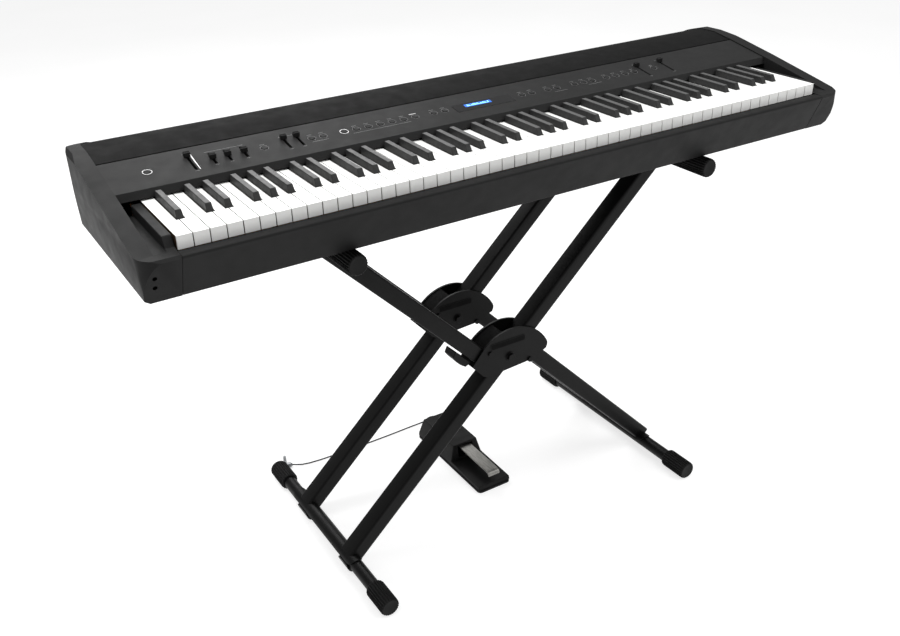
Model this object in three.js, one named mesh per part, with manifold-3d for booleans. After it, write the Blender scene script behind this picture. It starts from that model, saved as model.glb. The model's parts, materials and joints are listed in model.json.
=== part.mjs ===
// An 88-key digital piano on a double-braced folding X stand, with a damper pedal on the floor.
// Millimetres, +Z up, +X towards the treble end, -Y towards the player.
// The origin is on the floor under the middle of the piano. The stand is a little to the bass side of it.
import * as THREE from 'three';
import { mergeVertices } from 'three/addons/utils/BufferGeometryUtils.js';
import Module from 'manifold-3d';

const wasm = await Module();
wasm.setup();

// ---- Driving dimensions -------------------------------------------------------------------------
const GAP = 0.3;                 // between pieces that touch
const SLIDE_GAP = 0.6;           // between pieces that slide past each other

// Stand
const STAND_X = -7;              // the stand's middle
const SPAN_HALF = 351.5;         // from there to each foot bar and each top bar
const TOP_AXIS_Z = 670;          // height of the top bars' axes
const BAR_RADIUS = 12.7;
const BAR_HALF_LENGTH = 238;     // foot bar, without its caps
const TOP_BAR_HALF_LENGTH = 216;
const FOOT_CAP_RADIUS = 18.5;    // also the height of the foot bars' axes
const FOOT_CAP_LENGTH = 60;
const CAP_END_WALL = 8;
const CAP_FLAT = 0.5;            // how much the sole of a foot cap is flattened
const SLEEVE_RADIUS = 17.5;
const SLEEVE_SPACE = 2.5;        // between a sleeve and the arm
const BRACES = { front: -85.5, rear: 96.5 };     // the middle plane of each X
const ARM_WIDTH = 30;            // in the plane of the X
const ARM_DEPTH = 36;            // along Y
const ARM_WALL = 1.5;
const ARM_CORNER = 4;
const SPLIT_SPACE = 1;           // more than an arm's width, that the halves of arm B stand off the pivot
const SPLIT_OFFSET_BAR = 10;     // and off the bar that they are welded to
const SPLIT_START = 26;          // where a half begins, measured from the pivot along the arm
const PLATE_THICKNESS = 4;
const PLATE_HALF_WIDTH = 84;
const PLATE_TOP = 58;            // above the pivot
const PLATE_BOTTOM = 27;         // below the pivot
const BOLT_RADIUS = 6;
const BOLT_HEAD_RADIUS = 10;
const BOLT_HEAD_HEIGHT = 6;
const RIVET_RADIUS = 5;
const RIVET_HEIGHT = 2;
const RIVET_X = 45;
const LOCK_LENGTH = 46;
const LOCK_FROM_PIVOT = 90;      // to the middle of the lock lever, along the arm
const LOCK_SPACE = 4;            // between the lock lever and its arm

// Piano case
const CASE_BESIDE_KEYS = 59;     // from the keys' ends to the case's sides
const CASE_FRONT = -232;
const CASE_REAR = 158;
const CASE_HEIGHT = 131;
const CASE_WALL = 3;
const END_WALL = 26;             // thickness of an end block beside the panel
const END_TAPER = 3;             // how far the foot of an end block leans in
const RAIL_BESIDE_KEYS = 1.7;     // how far the front rail runs on past the keys
const RAIL_DEPTH = 19;           // depth of the front rail's top
const RAIL_LEAN = 28;            // how far the front's lower edge leans back
const CORNER_RADIUS = 34;        // round front corner of an end block, seen from above
const REAR_CORNER_RADIUS = 60;   // and its rear corner
const COVER_CORNER_RADIUS = 46;  // rear corner of the cover inside it
const COVER_DROP = 1.5;          // from the end blocks' tops down to the cover
const REAR_EDGE = 16;            // height of the rounding along the top's rear edge

// Keys
const WHITE_COUNT = 52;
const WHITE_PITCH = 23.5;
const KEY_SPACE = 1.0;           // between neighbouring keys
const KEY_FRONT_Y = -210;
const KEY_VISIBLE = 152;         // from a white key's front to the panel's lip
const KEY_HEIGHT = 20;
const KEY_TOP_ABOVE_CASE = 88;   // from the underside of the case
const BLACK_WIDTH = 11;
const BLACK_LENGTH = 96;
const BLACK_RISE = 12;
const BLACK_SLOPE = 7;           // length of the bevelled front
const KEY_PIVOT_BEHIND_LIP = 86;
const BANK_RAIL_DEPTH = 12;

// Panel
const LIP_HEIGHT = 12;
const PANEL_LENGTH = 92;         // along its slope
const PANEL_SLOPE = Math.atan2(18, 90);
const PANEL_THICKNESS = 3;
const COVER_GAP = 4;
const BUTTON_RADIUS = 5.5;
const BUTTON_RISE = 1;
const ROW = 45;                  // the row of buttons, up the slope from the panel's front edge
const BUTTONS = {
  left: [-583, -400, -320, -300, -263, -241, -219, -197, -175, -153, -131, -95, -73],
  right: [87, 108, 143, 164, 204, 225, 245, 279, 301, 324, 346, 395],
};
const CARRIER_WIDTH = 8;
const CARRIER_DROP = 8.4;        // from the panel's top to a button carrier
const KNOB_LENGTH = 8;
const KNOB_WIDTH = 10;
const KNOB_RISE = 7;
const KNOB_LIFT = 0.8;           // between a knob and the panel
const STEM_WIDTH = 3;
const STEM_LENGTH = 5;
// Each slider's name, place along the panel, middle and half length of its slot, and knob from -1 to 1
const SLIDERS = [
  ['volume_slider', -516, 46, 23, 1],
  ['tone_slider_1', -483, 46, 17, 0], ['tone_slider_2', -459, 46, 17, 0], ['tone_slider_3', -433, 46, 17, 0],
  ['part_slider_1', -362, 46, 17, 1], ['part_slider_2', -340, 46, 17, 1],
  ['mic_slider', 366, 43, 23, 1], ['level_slider', 424, 43, 23, 1],
];
const DISPLAY_WIDTH = 119;
const DISPLAY_DEPTH = 25;
const DISPLAY_X = 5;

// Headphone sockets
const SOCKET_RADIUS = 3.4;
const SOCKET_DEPTH = 22;
const SOCKET_FROM_SIDE = 20;
const SOCKET_BELOW_KEYS = [46, 62];

// Inside the case
const BOARD_LENGTH = 360;
const BOARD_DEPTH = 74;
const SPEAKER_X = 470;
const SPEAKER_RADIUS = 38;

// Pedal
const PEDAL_X = -4;
const PEDAL_FRONT = -50;
const PEDAL_REAR = 200;
const PEDAL_WIDTH = 78;
const SOLE_THICKNESS = 5;
const HOUSING_FRONT = 60;
const HOUSING_TOP = 49;
const HOUSING_TOP_WIDTH = 58;
const HOUSING_WALL = 3;
const DECK_TOP = 14;             // the low part in front of the housing
const LEVER_WIDTH = 27;
const LEVER_THICKNESS = 4;
const LEVER_TOP = 41;
const LEVER_FRONT = -47;
const LEVER_AXLE_Y = 150;
const TRUNNION_RADIUS = 4;
const LEVER_CLEARANCE = 4;       // round the lever where it comes out of the housing

// Cord and plug
const CORD_DIAMETER = 2.8;
const CORD_SIDES = 8;
const CORD_STEPS = 50;
const RELIEF_LENGTH = 6;
const COIL_CENTRE = { x: 14, y: 222.5 };
const COIL_MEAN_RADIUS = 15;
const COIL_WIDTH = 11.4;         // across its wound section
const COIL_HEIGHT = 9;
const CORD_ROUTE = [             // the stretch from the coil to the plug, on the floor
  [-2, 239.4, 2.4], [-18, 240.4, 1.6], [-44, 240.2, 1.6], [-72, 239.2, 1.6], [-102, 238.6, 1.6],
  [-134, 238.4, 1.6], [-166, 238.6, 1.6], [-198, 239.2, 1.6], [-230, 240.0, 1.6],
  [-262, 241.4, 1.6], [-288, 244.2, 1.6], [-304, 247.6, 2.2], [-316, 251.2, 4.2], [-323, 253.6, 5.8],
];
const PLUG_RADIUS = 5.8;
const PLUG_LENGTH = 21;
const PLUG_SHAFT_RADIUS = 3.17;
const PLUG_SHAFT_LENGTH = 30;    // out of the plug's side, square to the cord

// ---- Values that follow -------------------------------------------------------------------------
const FOOT_AXIS_Z = FOOT_CAP_RADIUS - CAP_FLAT;
const PIVOT_Z = (TOP_AXIS_Z + FOOT_AXIS_Z) / 2;
const SPLIT_OFFSET_PIVOT = ARM_WIDTH + SPLIT_SPACE;
const ARM_LENGTH = Math.hypot(2 * SPAN_HALF, TOP_AXIS_Z - FOOT_AXIS_Z);
const ARM_ANGLE = Math.atan2(TOP_AXIS_Z - FOOT_AXIS_Z, 2 * SPAN_HALF);
const CASE_BOTTOM = TOP_AXIS_Z + SLEEVE_RADIUS + GAP;
const CASE_TOP = CASE_BOTTOM + CASE_HEIGHT;
const KEY_TOP = CASE_BOTTOM + KEY_TOP_ABOVE_CASE;
const RAIL_TOP = KEY_TOP - KEY_HEIGHT + 1;
const LIP_Y = KEY_FRONT_Y + KEY_VISIBLE;
const LIP_BOTTOM = KEY_TOP + 3;
const PANEL_FRONT = { y: LIP_Y + 5, z: LIP_BOTTOM + LIP_HEIGHT };
const PANEL_REAR = { y: PANEL_FRONT.y + PANEL_LENGTH * Math.cos(PANEL_SLOPE),
  z: PANEL_FRONT.z + PANEL_LENGTH * Math.sin(PANEL_SLOPE) };
const KEY_PIVOT_Y = LIP_Y + KEY_PIVOT_BEHIND_LIP;
const RELIEF_Z = CORD_DIAMETER + 2;
const KEYS_HALF = WHITE_COUNT * WHITE_PITCH / 2;
const CASE_HALF_WIDTH = KEYS_HALF + CASE_BESIDE_KEYS;
const SEAM_HALF = KEYS_HALF + RAIL_BESIDE_KEYS;
const OPENING_HALF = CASE_HALF_WIDTH - END_WALL;
const LEDGE_TOP = RAIL_TOP + 1;                  // of the ledge beside the keys
const PLATE_OFFSET = ARM_DEPTH / 2 + SLIDE_GAP + PLATE_THICKNESS / 2;

const WHITE = [0, 2, 3, 5, 7, 8, 10];            // white notes of an octave that starts on A
const BLACK_SHIFT = { 1: 2.5, 4: -2, 6: 2, 9: -2.5, 11: 0 };   // how far a black key stands off its seam

// ---- Materials ----------------------------------------------------------------------------------
const MATERIALS = {
  case_satin: [0x303030, 0.5, 0],
  panel_satin: [0x3b3b3b, 0.45, 0],
  cover_dark: [0x222222, 0.7, 0],
  key_white: [0xf2f2ee, 0.25, 0],
  key_black: [0x2c2c2c, 0.6, 0],
  stand_black: [0x151515, 0.35, 0],
  rubber: [0x121212, 0.85, 0],
  steel: [0x8a8c8e, 0.35, 1],
  bed_wood: [0x8a6a45, 0.7, 0],
  display: [0x050608, 0.1, 0],
  board: [0x1d4a2a, 0.6, 0],
  speaker_paper: [0x1c1c1c, 0.9, 0],
  pedal_metal: [0xb4b3ae, 0.35, 1],
  cord_black: [0x161616, 0.6, 0],
};

// ---- Building blocks ----------------------------------------------------------------------------
function toSolid(geometry) {
  const bare = geometry.index ? geometry.toNonIndexed() : geometry.clone();
  bare.deleteAttribute('normal');
  bare.deleteAttribute('uv');
  const merged = mergeVertices(bare, 1e-4);
  return new wasm.Manifold(new wasm.Mesh({
    numProp: 3,
    vertProperties: new Float32Array(merged.attributes.position.array),
    triVerts: new Uint32Array(merged.index.array),
  }));
}

function toGeometry(solid) {
  const mesh = solid.getMesh();
  const geometry = new THREE.BufferGeometry();
  geometry.setAttribute('position', new THREE.BufferAttribute(new Float32Array(mesh.vertProperties), 3));
  geometry.setIndex(new THREE.BufferAttribute(new Uint32Array(mesh.triVerts), 1));
  return geometry;
}

function join(...geometries) {
  return toGeometry(geometries.map(toSolid).reduce((all, next) => all.add(next)));
}

function cut(body, ...tools) {
  return toGeometry(tools.map(toSolid).reduce((left, tool) => left.subtract(tool), toSolid(body)));
}

function common(...geometries) {
  return toGeometry(geometries.map(toSolid).reduce((all, next) => all.intersect(next)));
}

// A box between two corners.
function block([x0, y0, z0], [x1, y1, z1]) {
  const geometry = new THREE.BoxGeometry(x1 - x0, y1 - y0, z1 - z0);
  return geometry.translate((x0 + x1) / 2, (y0 + y1) / 2, (z0 + z1) / 2);
}

// An outline in X and Y, raised from z0 to z1.
function slab(outline, z0, z1, curveSegments = 5) {
  const points = outline instanceof THREE.Shape
    ? outline.getPoints(curveSegments)
    : outline.map(([x, y]) => new THREE.Vector2(x, y));
  const options = { depth: z1 - z0, bevelEnabled: false };
  return new THREE.ExtrudeGeometry(new THREE.Shape(points), options).translate(0, 0, z0);
}

// A side view in Y and Z, drawn from x0 to x1.
function alongX(outline, x0, x1) {
  const geometry = slab(outline, x0, x1);
  return geometry.applyMatrix4(new THREE.Matrix4().makeBasis(
    new THREE.Vector3(0, 1, 0), new THREE.Vector3(0, 0, 1), new THREE.Vector3(1, 0, 0)));
}

// A front view in X and Z, drawn from y0 to y1.
function alongY(outline, y0, y1) {
  const geometry = slab(outline, -y1, -y0);
  return geometry.applyMatrix4(new THREE.Matrix4().makeBasis(
    new THREE.Vector3(1, 0, 0), new THREE.Vector3(0, 0, 1), new THREE.Vector3(0, -1, 0)));
}

function rod(radius, length, segments = 20) {
  return new THREE.CylinderGeometry(radius, radius, length, segments);
}

// A solid of revolution about Y from [radius, y] points.
function turned(points, segments = 20) {
  return new THREE.LatheGeometry(points.map(([r, y]) => new THREE.Vector2(r, y)), segments);
}

function roundedRectangle(halfWidth, halfHeight, radius, Type = THREE.Shape) {
  const shape = new Type();
  const corners = [[1, -1, -90], [1, 1, 0], [-1, 1, 90], [-1, -1, 180]];
  for (const [sx, sy, start] of corners) {
    const from = THREE.MathUtils.degToRad(start);
    const [x, y] = [sx * (halfWidth - radius), sy * (halfHeight - radius)];
    shape.absarc(x, y, radius, from, from + Math.PI / 2, false);
  }
  shape.closePath();
  return shape;
}

const group = new THREE.Group();

function add(name, material, geometry) {
  const [color, roughness, metalness] = MATERIALS[material];
  const mesh = new THREE.Mesh(geometry, new THREE.MeshStandardMaterial({ color, roughness, metalness }));
  mesh.name = name;
  group.add(mesh);
  return mesh;
}

// ---- Stand --------------------------------------------------------------------------------------
// A square tube whose middle line runs from one point of the XZ plane to another.
function tube(from, to, y) {
  const length = Math.hypot(to.x - from.x, to.z - from.z);
  const section = roundedRectangle(ARM_WIDTH / 2, ARM_DEPTH / 2, ARM_CORNER);
  const inside = [ARM_WIDTH / 2 - ARM_WALL, ARM_DEPTH / 2 - ARM_WALL, ARM_CORNER - ARM_WALL];
  section.holes.push(roundedRectangle(...inside, THREE.Path));
  const options = { depth: length, bevelEnabled: false, curveSegments: 2 };
  const geometry = new THREE.ExtrudeGeometry(section, options);
  const ahead = new THREE.Vector3((to.x - from.x) / length, 0, (to.z - from.z) / length);
  const side = new THREE.Vector3(0, 1, 0);
  const width = new THREE.Vector3().crossVectors(side, ahead);
  geometry.applyMatrix4(new THREE.Matrix4().makeBasis(width, side, ahead));
  return geometry.translate(from.x, y, from.z);
}

function barCutter({ x, z }, y) {
  return rod(BAR_RADIUS + GAP, ARM_DEPTH * 2).translate(x, y, z);
}

function foot(side) {
  return { x: STAND_X + side * SPAN_HALF, z: FOOT_AXIS_Z };
}

function top(side) {
  return { x: STAND_X + side * SPAN_HALF, z: TOP_AXIS_Z };
}

// Arm A is one straight tube from the left foot bar to the right top bar, drilled for the pivot bolt.
function armA(y) {
  const pivotHole = rod(BOLT_RADIUS + SLIDE_GAP, ARM_DEPTH * 2, 16).translate(STAND_X, y, PIVOT_Z);
  return cut(tube(foot(-1), top(1), y), barCutter(foot(-1), y), barCutter(top(1), y), pivotHole);
}

// A point on a half of arm B: along is measured from the pivot towards the bar, off square to the arm.
function onArmB(side, along, off) {
  const ux = -Math.cos(ARM_ANGLE);
  const uz = Math.sin(ARM_ANGLE);
  return { x: STAND_X + side * (along * ux - off * uz), z: PIVOT_Z + side * (along * uz + off * ux) };
}

// side 1 is the upper half, on the left; side -1 is the lower half, on the right.
function halfArmB(side, y) {
  const near = onArmB(side, SPLIT_START, SPLIT_OFFSET_PIVOT);
  const far = onArmB(side, ARM_LENGTH / 2, SPLIT_OFFSET_BAR);
  return cut(tube(near, far, y), barCutter(side > 0 ? top(-1) : foot(1), y));
}

function bar({ x, z }, halfLength) {
  return rod(BAR_RADIUS, 2 * halfLength).translate(x, 0, z);
}

// A rubber cap on the end of a foot bar, with a flat sole.
function footCap(x, end) {
  const inner = end * (BAR_HALF_LENGTH + CAP_END_WALL - FOOT_CAP_LENGTH);
  const outer = end * (BAR_HALF_LENGTH + CAP_END_WALL);
  const body = rod(FOOT_CAP_RADIUS, FOOT_CAP_LENGTH, 24).translate(0, (inner + outer) / 2, 0);
  const hole = rod(BAR_RADIUS + GAP, 2 * BAR_HALF_LENGTH + 2 * GAP);
  const reach = 2 * BAR_HALF_LENGTH;
  const below = [-FOOT_CAP_RADIUS, -reach, -2 * FOOT_CAP_RADIUS];
  const sole = block(below, [FOOT_CAP_RADIUS, reach, -FOOT_AXIS_Z]);
  return cut(body, hole, sole).translate(x, 0, FOOT_AXIS_Z);
}

// A rubber sleeve on the end of a top bar, outside the arm in the plane y.
function topSleeve(x, end, y) {
  const inner = end * y + ARM_DEPTH / 2 + SLEEVE_SPACE;
  const outer = TOP_BAR_HALF_LENGTH + CAP_END_WALL;
  const points = [
    [BAR_RADIUS + GAP, inner], [SLEEVE_RADIUS, inner], [SLEEVE_RADIUS, outer], [0, outer],
    [0, TOP_BAR_HALF_LENGTH + GAP], [BAR_RADIUS + GAP, TOP_BAR_HALF_LENGTH + GAP],
    [BAR_RADIUS + GAP, inner],
  ];
  const geometry = turned(points, 24);
  if (end < 0) geometry.rotateX(Math.PI);
  return geometry.translate(x, 0, TOP_AXIS_Z);
}

// One D-shaped bracket plate, round at the top, with two rivet heads on its outer face.
function bracketPlate(y, face) {
  const half = PLATE_THICKNESS / 2;
  const shape = new THREE.Shape();
  shape.moveTo(-PLATE_HALF_WIDTH, 4);
  shape.lineTo(-PLATE_HALF_WIDTH + 24, -PLATE_BOTTOM + 4);
  shape.quadraticCurveTo(-PLATE_HALF_WIDTH + 36, -PLATE_BOTTOM - 4, -PLATE_HALF_WIDTH + 50, -PLATE_BOTTOM);
  shape.lineTo(PLATE_HALF_WIDTH - 36, -PLATE_BOTTOM + 5);
  shape.lineTo(PLATE_HALF_WIDTH - 2, -8);
  shape.quadraticCurveTo(PLATE_HALF_WIDTH + 5, 2, PLATE_HALF_WIDTH - 1, 11);
  shape.absarc(4, PLATE_TOP - PLATE_HALF_WIDTH - 6, PLATE_HALF_WIDTH + 6, 0.5, Math.PI - 0.62, false);
  shape.closePath();
  const options = { depth: PLATE_THICKNESS, bevelEnabled: false, curveSegments: 10 };
  const plate = new THREE.ExtrudeGeometry(shape, options);
  plate.rotateX(Math.PI / 2).translate(0, half, 0);
  const boltHole = rod(BOLT_RADIUS + GAP, PLATE_THICKNESS * 4, 16);
  const rivets = [-1, 1].map((side) => {
    const at = onArmB(-side, Math.hypot(RIVET_X, SPLIT_OFFSET_BAR), SPLIT_OFFSET_PIVOT / 2);
    const rivet = rod(RIVET_RADIUS, RIVET_HEIGHT + half, 10);
    return rivet.translate(at.x - STAND_X, face * (half + RIVET_HEIGHT / 2), at.z - PIVOT_Z);
  });
  return cut(join(plate, ...rivets), boltHole).translate(STAND_X, y, PIVOT_Z);
}

// The pivot bolt, with its head in front and its nut behind.
function pivotBolt(y) {
  const reach = PLATE_OFFSET + PLATE_THICKNESS / 2 + GAP;
  const end = reach + BOLT_HEAD_HEIGHT;
  return turned([
    [0, -end], [BOLT_HEAD_RADIUS, -end], [BOLT_HEAD_RADIUS, -reach], [BOLT_RADIUS, -reach],
    [BOLT_RADIUS, reach], [BOLT_HEAD_RADIUS, reach], [BOLT_HEAD_RADIUS, end], [0, end],
  ], 12).translate(STAND_X, y, PIVOT_Z);
}

// The lock's release lever hangs under the front upper half of arm B, beside the bracket.
// It lies at the same slope as that half, which leans a little from the line of arm B.
function lockLever(y) {
  const share = (LOCK_FROM_PIVOT - SPLIT_START) / (ARM_LENGTH / 2 - SPLIT_START);
  const lockOffset = SPLIT_OFFSET_PIVOT + share * (SPLIT_OFFSET_BAR - SPLIT_OFFSET_PIVOT);
  const from = onArmB(1, LOCK_FROM_PIVOT, lockOffset);
  const lean = Math.atan2(SPLIT_OFFSET_PIVOT - SPLIT_OFFSET_BAR, ARM_LENGTH / 2 - SPLIT_START);
  const drop = ARM_WIDTH / 2 + LOCK_SPACE;
  const shape = new THREE.Shape();
  shape.moveTo(-LOCK_LENGTH / 2, -drop);
  shape.lineTo(LOCK_LENGTH / 2, -drop);
  shape.lineTo(LOCK_LENGTH / 2 - 4, -drop - 12);
  shape.quadraticCurveTo(0, -drop - 17, -LOCK_LENGTH / 2 + 4, -drop - 12);
  shape.closePath();
  const depth = ARM_DEPTH - 5;
  const lever = new THREE.ExtrudeGeometry(shape, { depth, bevelEnabled: false, curveSegments: 5 });
  lever.rotateX(Math.PI / 2).translate(0, depth / 2, 0).rotateY(ARM_ANGLE + lean);
  return lever.translate(from.x, y, from.z);
}

function buildStand() {
  const ends = { front: -1, rear: 1 };
  for (const [name, y] of Object.entries(BRACES)) {
    add(`arm_a_${name}`, 'stand_black', armA(y));
    add(`arm_b_${name}_upper`, 'stand_black', halfArmB(1, y));
    add(`arm_b_${name}_lower`, 'stand_black', halfArmB(-1, y));
    add(`bracket_${name}_outer_plate`, 'stand_black', bracketPlate(y - PLATE_OFFSET, -1));
    add(`bracket_${name}_inner_plate`, 'stand_black', bracketPlate(y + PLATE_OFFSET, 1));
    add(`pivot_bolt_${name}`, 'steel', pivotBolt(y));
  }
  for (const [frame, side] of [['a', -1], ['b', 1]]) {
    add(`foot_bar_${frame}`, 'stand_black', bar(foot(side), BAR_HALF_LENGTH));
    add(`top_bar_${frame}`, 'stand_black', bar(top(-side), TOP_BAR_HALF_LENGTH));
    for (const [name, end] of Object.entries(ends)) {
      add(`foot_cap_${frame}_${name}`, 'rubber', footCap(foot(side).x, end));
      add(`top_sleeve_${frame}_${name}`, 'rubber', topSleeve(top(-side).x, end, BRACES[name]));
    }
  }
  add('lock_lever', 'stand_black', lockLever(BRACES.front));
}

// ---- Piano case ---------------------------------------------------------------------------------
function mirrored(geometry) {
  const copy = geometry.index ? geometry.clone() : mergeVertices(geometry);
  copy.applyMatrix4(new THREE.Matrix4().makeScale(-1, 1, 1));
  const index = copy.index.array;
  for (let i = 0; i < index.length; i += 3) [index[i], index[i + 1]] = [index[i + 1], index[i]];
  return copy;
}

// The top's side view from the panel to the rear edge, lowered by drop.
function topLine(drop) {
  return [
    [CASE_REAR - 74, CASE_TOP - drop], [CASE_REAR - 34, CASE_TOP - drop],
    [CASE_REAR - 12, CASE_TOP - 5.3 - drop], [CASE_REAR - 4, CASE_TOP - 10 - drop],
    [CASE_REAR, CASE_TOP - REAR_EDGE - drop],
  ];
}

// The space between the end blocks, seen from above, with the cover's round rear corners.
function insidePlan(front, extra) {
  const shape = new THREE.Shape();
  const corner = { x: OPENING_HALF - COVER_CORNER_RADIUS, y: CASE_REAR - COVER_CORNER_RADIUS };
  shape.moveTo(-OPENING_HALF - extra, front);
  shape.lineTo(OPENING_HALF + extra, front);
  shape.absarc(corner.x, corner.y, COVER_CORNER_RADIUS + extra, 0, Math.PI / 2);
  shape.absarc(-corner.x, corner.y, COVER_CORNER_RADIUS + extra, Math.PI / 2, Math.PI);
  shape.closePath();
  return slab(shape, CASE_BOTTOM - 1, CASE_TOP + 1, 9);
}

// The right end block: a side wall, the front corner and a ledge beside the keys.
function endBlock() {
  const side = alongX([
    [CASE_FRONT + RAIL_LEAN, CASE_BOTTOM], [CASE_REAR, CASE_BOTTOM], ...topLine(0).reverse(),
    [PANEL_REAR.y, PANEL_REAR.z + 2], [PANEL_FRONT.y, PANEL_FRONT.z + 2],
    [CASE_FRONT + RAIL_DEPTH, RAIL_TOP + 1], [CASE_FRONT + 4, RAIL_TOP], [CASE_FRONT, RAIL_TOP - 4],
  ], KEYS_HALF, CASE_HALF_WIDTH);
  const plan = new THREE.Shape();
  plan.moveTo(KEYS_HALF, CASE_FRONT);
  plan.lineTo(CASE_HALF_WIDTH - CORNER_RADIUS, CASE_FRONT);
  plan.absarc(CASE_HALF_WIDTH - CORNER_RADIUS, CASE_FRONT + CORNER_RADIUS, CORNER_RADIUS, -Math.PI / 2, 0);
  const rear = { x: CASE_HALF_WIDTH - REAR_CORNER_RADIUS, y: CASE_REAR - REAR_CORNER_RADIUS };
  plan.absarc(rear.x, rear.y, REAR_CORNER_RADIUS, 0, Math.PI / 2);
  plan.closePath();
  const front = alongY([
    [KEYS_HALF, CASE_BOTTOM], [CASE_HALF_WIDTH - END_TAPER - 10, CASE_BOTTOM],
    [CASE_HALF_WIDTH - END_TAPER - 2, CASE_BOTTOM + 6], [CASE_HALF_WIDTH, CASE_TOP - 50],
    [CASE_HALF_WIDTH, CASE_TOP - 6], [CASE_HALF_WIDTH - 6, CASE_TOP], [KEYS_HALF, CASE_TOP],
  ], CASE_FRONT, CASE_REAR);
  const body = common(side, slab(plan, CASE_BOTTOM, CASE_TOP, 9), front);
  const inside = OPENING_HALF;
  const low = CASE_BOTTOM - 1;
  const high = CASE_TOP + 1;
  const cheek = KEYS_HALF + 15;
  return cut(body,
    block([0, CASE_FRONT - 1, low], [KEYS_HALF + 2, CASE_REAR + 1, high]),
    block([0, CASE_FRONT - 1, low], [SEAM_HALF + GAP, KEY_FRONT_Y - 2, high]),
    insidePlan(LIP_Y - GAP, 0),
    block([cheek, KEY_FRONT_Y - 2, LEDGE_TOP], [inside, LIP_Y, high]),
    block([0, KEY_FRONT_Y - 2, KEY_TOP - 9], [cheek + 1, LIP_Y, high]),
    block([0, CASE_FRONT - 1, low], [SEAM_HALF + GAP, LIP_Y, LEDGE_TOP - 12]),
    block([0, CASE_FRONT + RAIL_LEAN + 4, low], [inside, LIP_Y, LEDGE_TOP - 12]));
}

function leftEndBlock() {
  const sockets = SOCKET_BELOW_KEYS.map((below) =>
    rod(SOCKET_RADIUS, 2 * SOCKET_DEPTH, 12)
      .translate(SOCKET_FROM_SIDE - CASE_HALF_WIDTH, CASE_FRONT + 8, KEY_TOP - below));
  return cut(mirrored(endBlock()), ...sockets);
}

function frontRail() {
  const inner = CASE_FRONT + 4;
  return alongX([
    [CASE_FRONT + RAIL_LEAN, CASE_BOTTOM], [CASE_FRONT + RAIL_LEAN + 4, CASE_BOTTOM], [inner, RAIL_TOP - 7],
    [inner, RAIL_TOP - CASE_WALL], [CASE_FRONT + RAIL_DEPTH, RAIL_TOP - CASE_WALL],
    [CASE_FRONT + RAIL_DEPTH, RAIL_TOP],
    [CASE_FRONT + 4, RAIL_TOP], [CASE_FRONT + 1, RAIL_TOP - 1], [CASE_FRONT, RAIL_TOP - 4],
  ], -SEAM_HALF, SEAM_HALF);
}

function bottomCase() {
  const front = CASE_FRONT + RAIL_LEAN + 4 + GAP;
  const wallTop = CASE_TOP - COVER_DROP - REAR_EDGE - GAP;
  const tray = alongX([
    [front, CASE_BOTTOM], [CASE_REAR, CASE_BOTTOM], [CASE_REAR, wallTop], [CASE_REAR - CASE_WALL, wallTop],
    [CASE_REAR - CASE_WALL, CASE_BOTTOM + CASE_WALL], [front, CASE_BOTTOM + CASE_WALL],
  ], -CASE_HALF_WIDTH, CASE_HALF_WIDTH);
  return common(tray, insidePlan(front - 1, -GAP));
}

function speakerCover() {
  const front = PANEL_REAR.y + COVER_GAP;
  const high = CASE_TOP - COVER_DROP;
  const sheet = alongX([
    [front, PANEL_REAR.z - CASE_WALL], [CASE_REAR - 74, high - CASE_WALL], [CASE_REAR - 35, high - CASE_WALL],
    [CASE_REAR - 14, high - 8.2], [CASE_REAR - 7, high - 12], [CASE_REAR - CASE_WALL - 1, high - REAR_EDGE],
    ...topLine(COVER_DROP).reverse(), [front, PANEL_REAR.z],
  ], -CASE_HALF_WIDTH, CASE_HALF_WIDTH);
  return common(sheet, insidePlan(front - 1, -GAP));
}

// Puts a piece drawn on a flat panel (X along it, Y up its slope, Z out of it) onto the sloping panel.
function onPanel(geometry, x, slope) {
  return geometry.rotateX(PANEL_SLOPE).translate(
    x, PANEL_FRONT.y + slope * Math.cos(PANEL_SLOPE), PANEL_FRONT.z + slope * Math.sin(PANEL_SLOPE));
}

function displaySize(extra) {
  return [DISPLAY_WIDTH / 2 + extra, DISPLAY_DEPTH / 2 + extra];
}

function controlPanel() {
  const sheet = alongX([
    [LIP_Y, LIP_BOTTOM], [LIP_Y + PANEL_THICKNESS, LIP_BOTTOM],
    [PANEL_FRONT.y + 2, PANEL_FRONT.z - PANEL_THICKNESS], [PANEL_REAR.y, PANEL_REAR.z - PANEL_THICKNESS],
    [PANEL_REAR.y, PANEL_REAR.z], [PANEL_FRONT.y, PANEL_FRONT.z],
  ], GAP - OPENING_HALF, OPENING_HALF - GAP);
  const depth = 2 * PANEL_THICKNESS;
  const slotHalf = STEM_WIDTH / 2 + SLIDE_GAP;
  const holes = [...BUTTONS.left, ...BUTTONS.right].map((x) =>
    onPanel(rod(BUTTON_RADIUS + SLIDE_GAP, 2 * depth, 8).rotateX(Math.PI / 2), x, ROW));
  const slots = SLIDERS.map(([, x, middle, half]) =>
    onPanel(block([-slotHalf, -half, -depth], [slotHalf, half, depth]), x, middle));
  const [w, d] = displaySize(GAP);
  const window = onPanel(block([-w, -d, -depth], [w, d, depth]), DISPLAY_X, ROW - 2);
  return cut(sheet, ...holes, ...slots, window);
}

function displayLens() {
  const [w, d] = displaySize(0);
  return onPanel(slab(roundedRectangle(w, d, 2), -PANEL_THICKNESS, 0.4), DISPLAY_X, ROW - 2);
}

function knobTravel(half) {
  return half - STEM_LENGTH / 2 - SLIDE_GAP;
}

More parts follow.
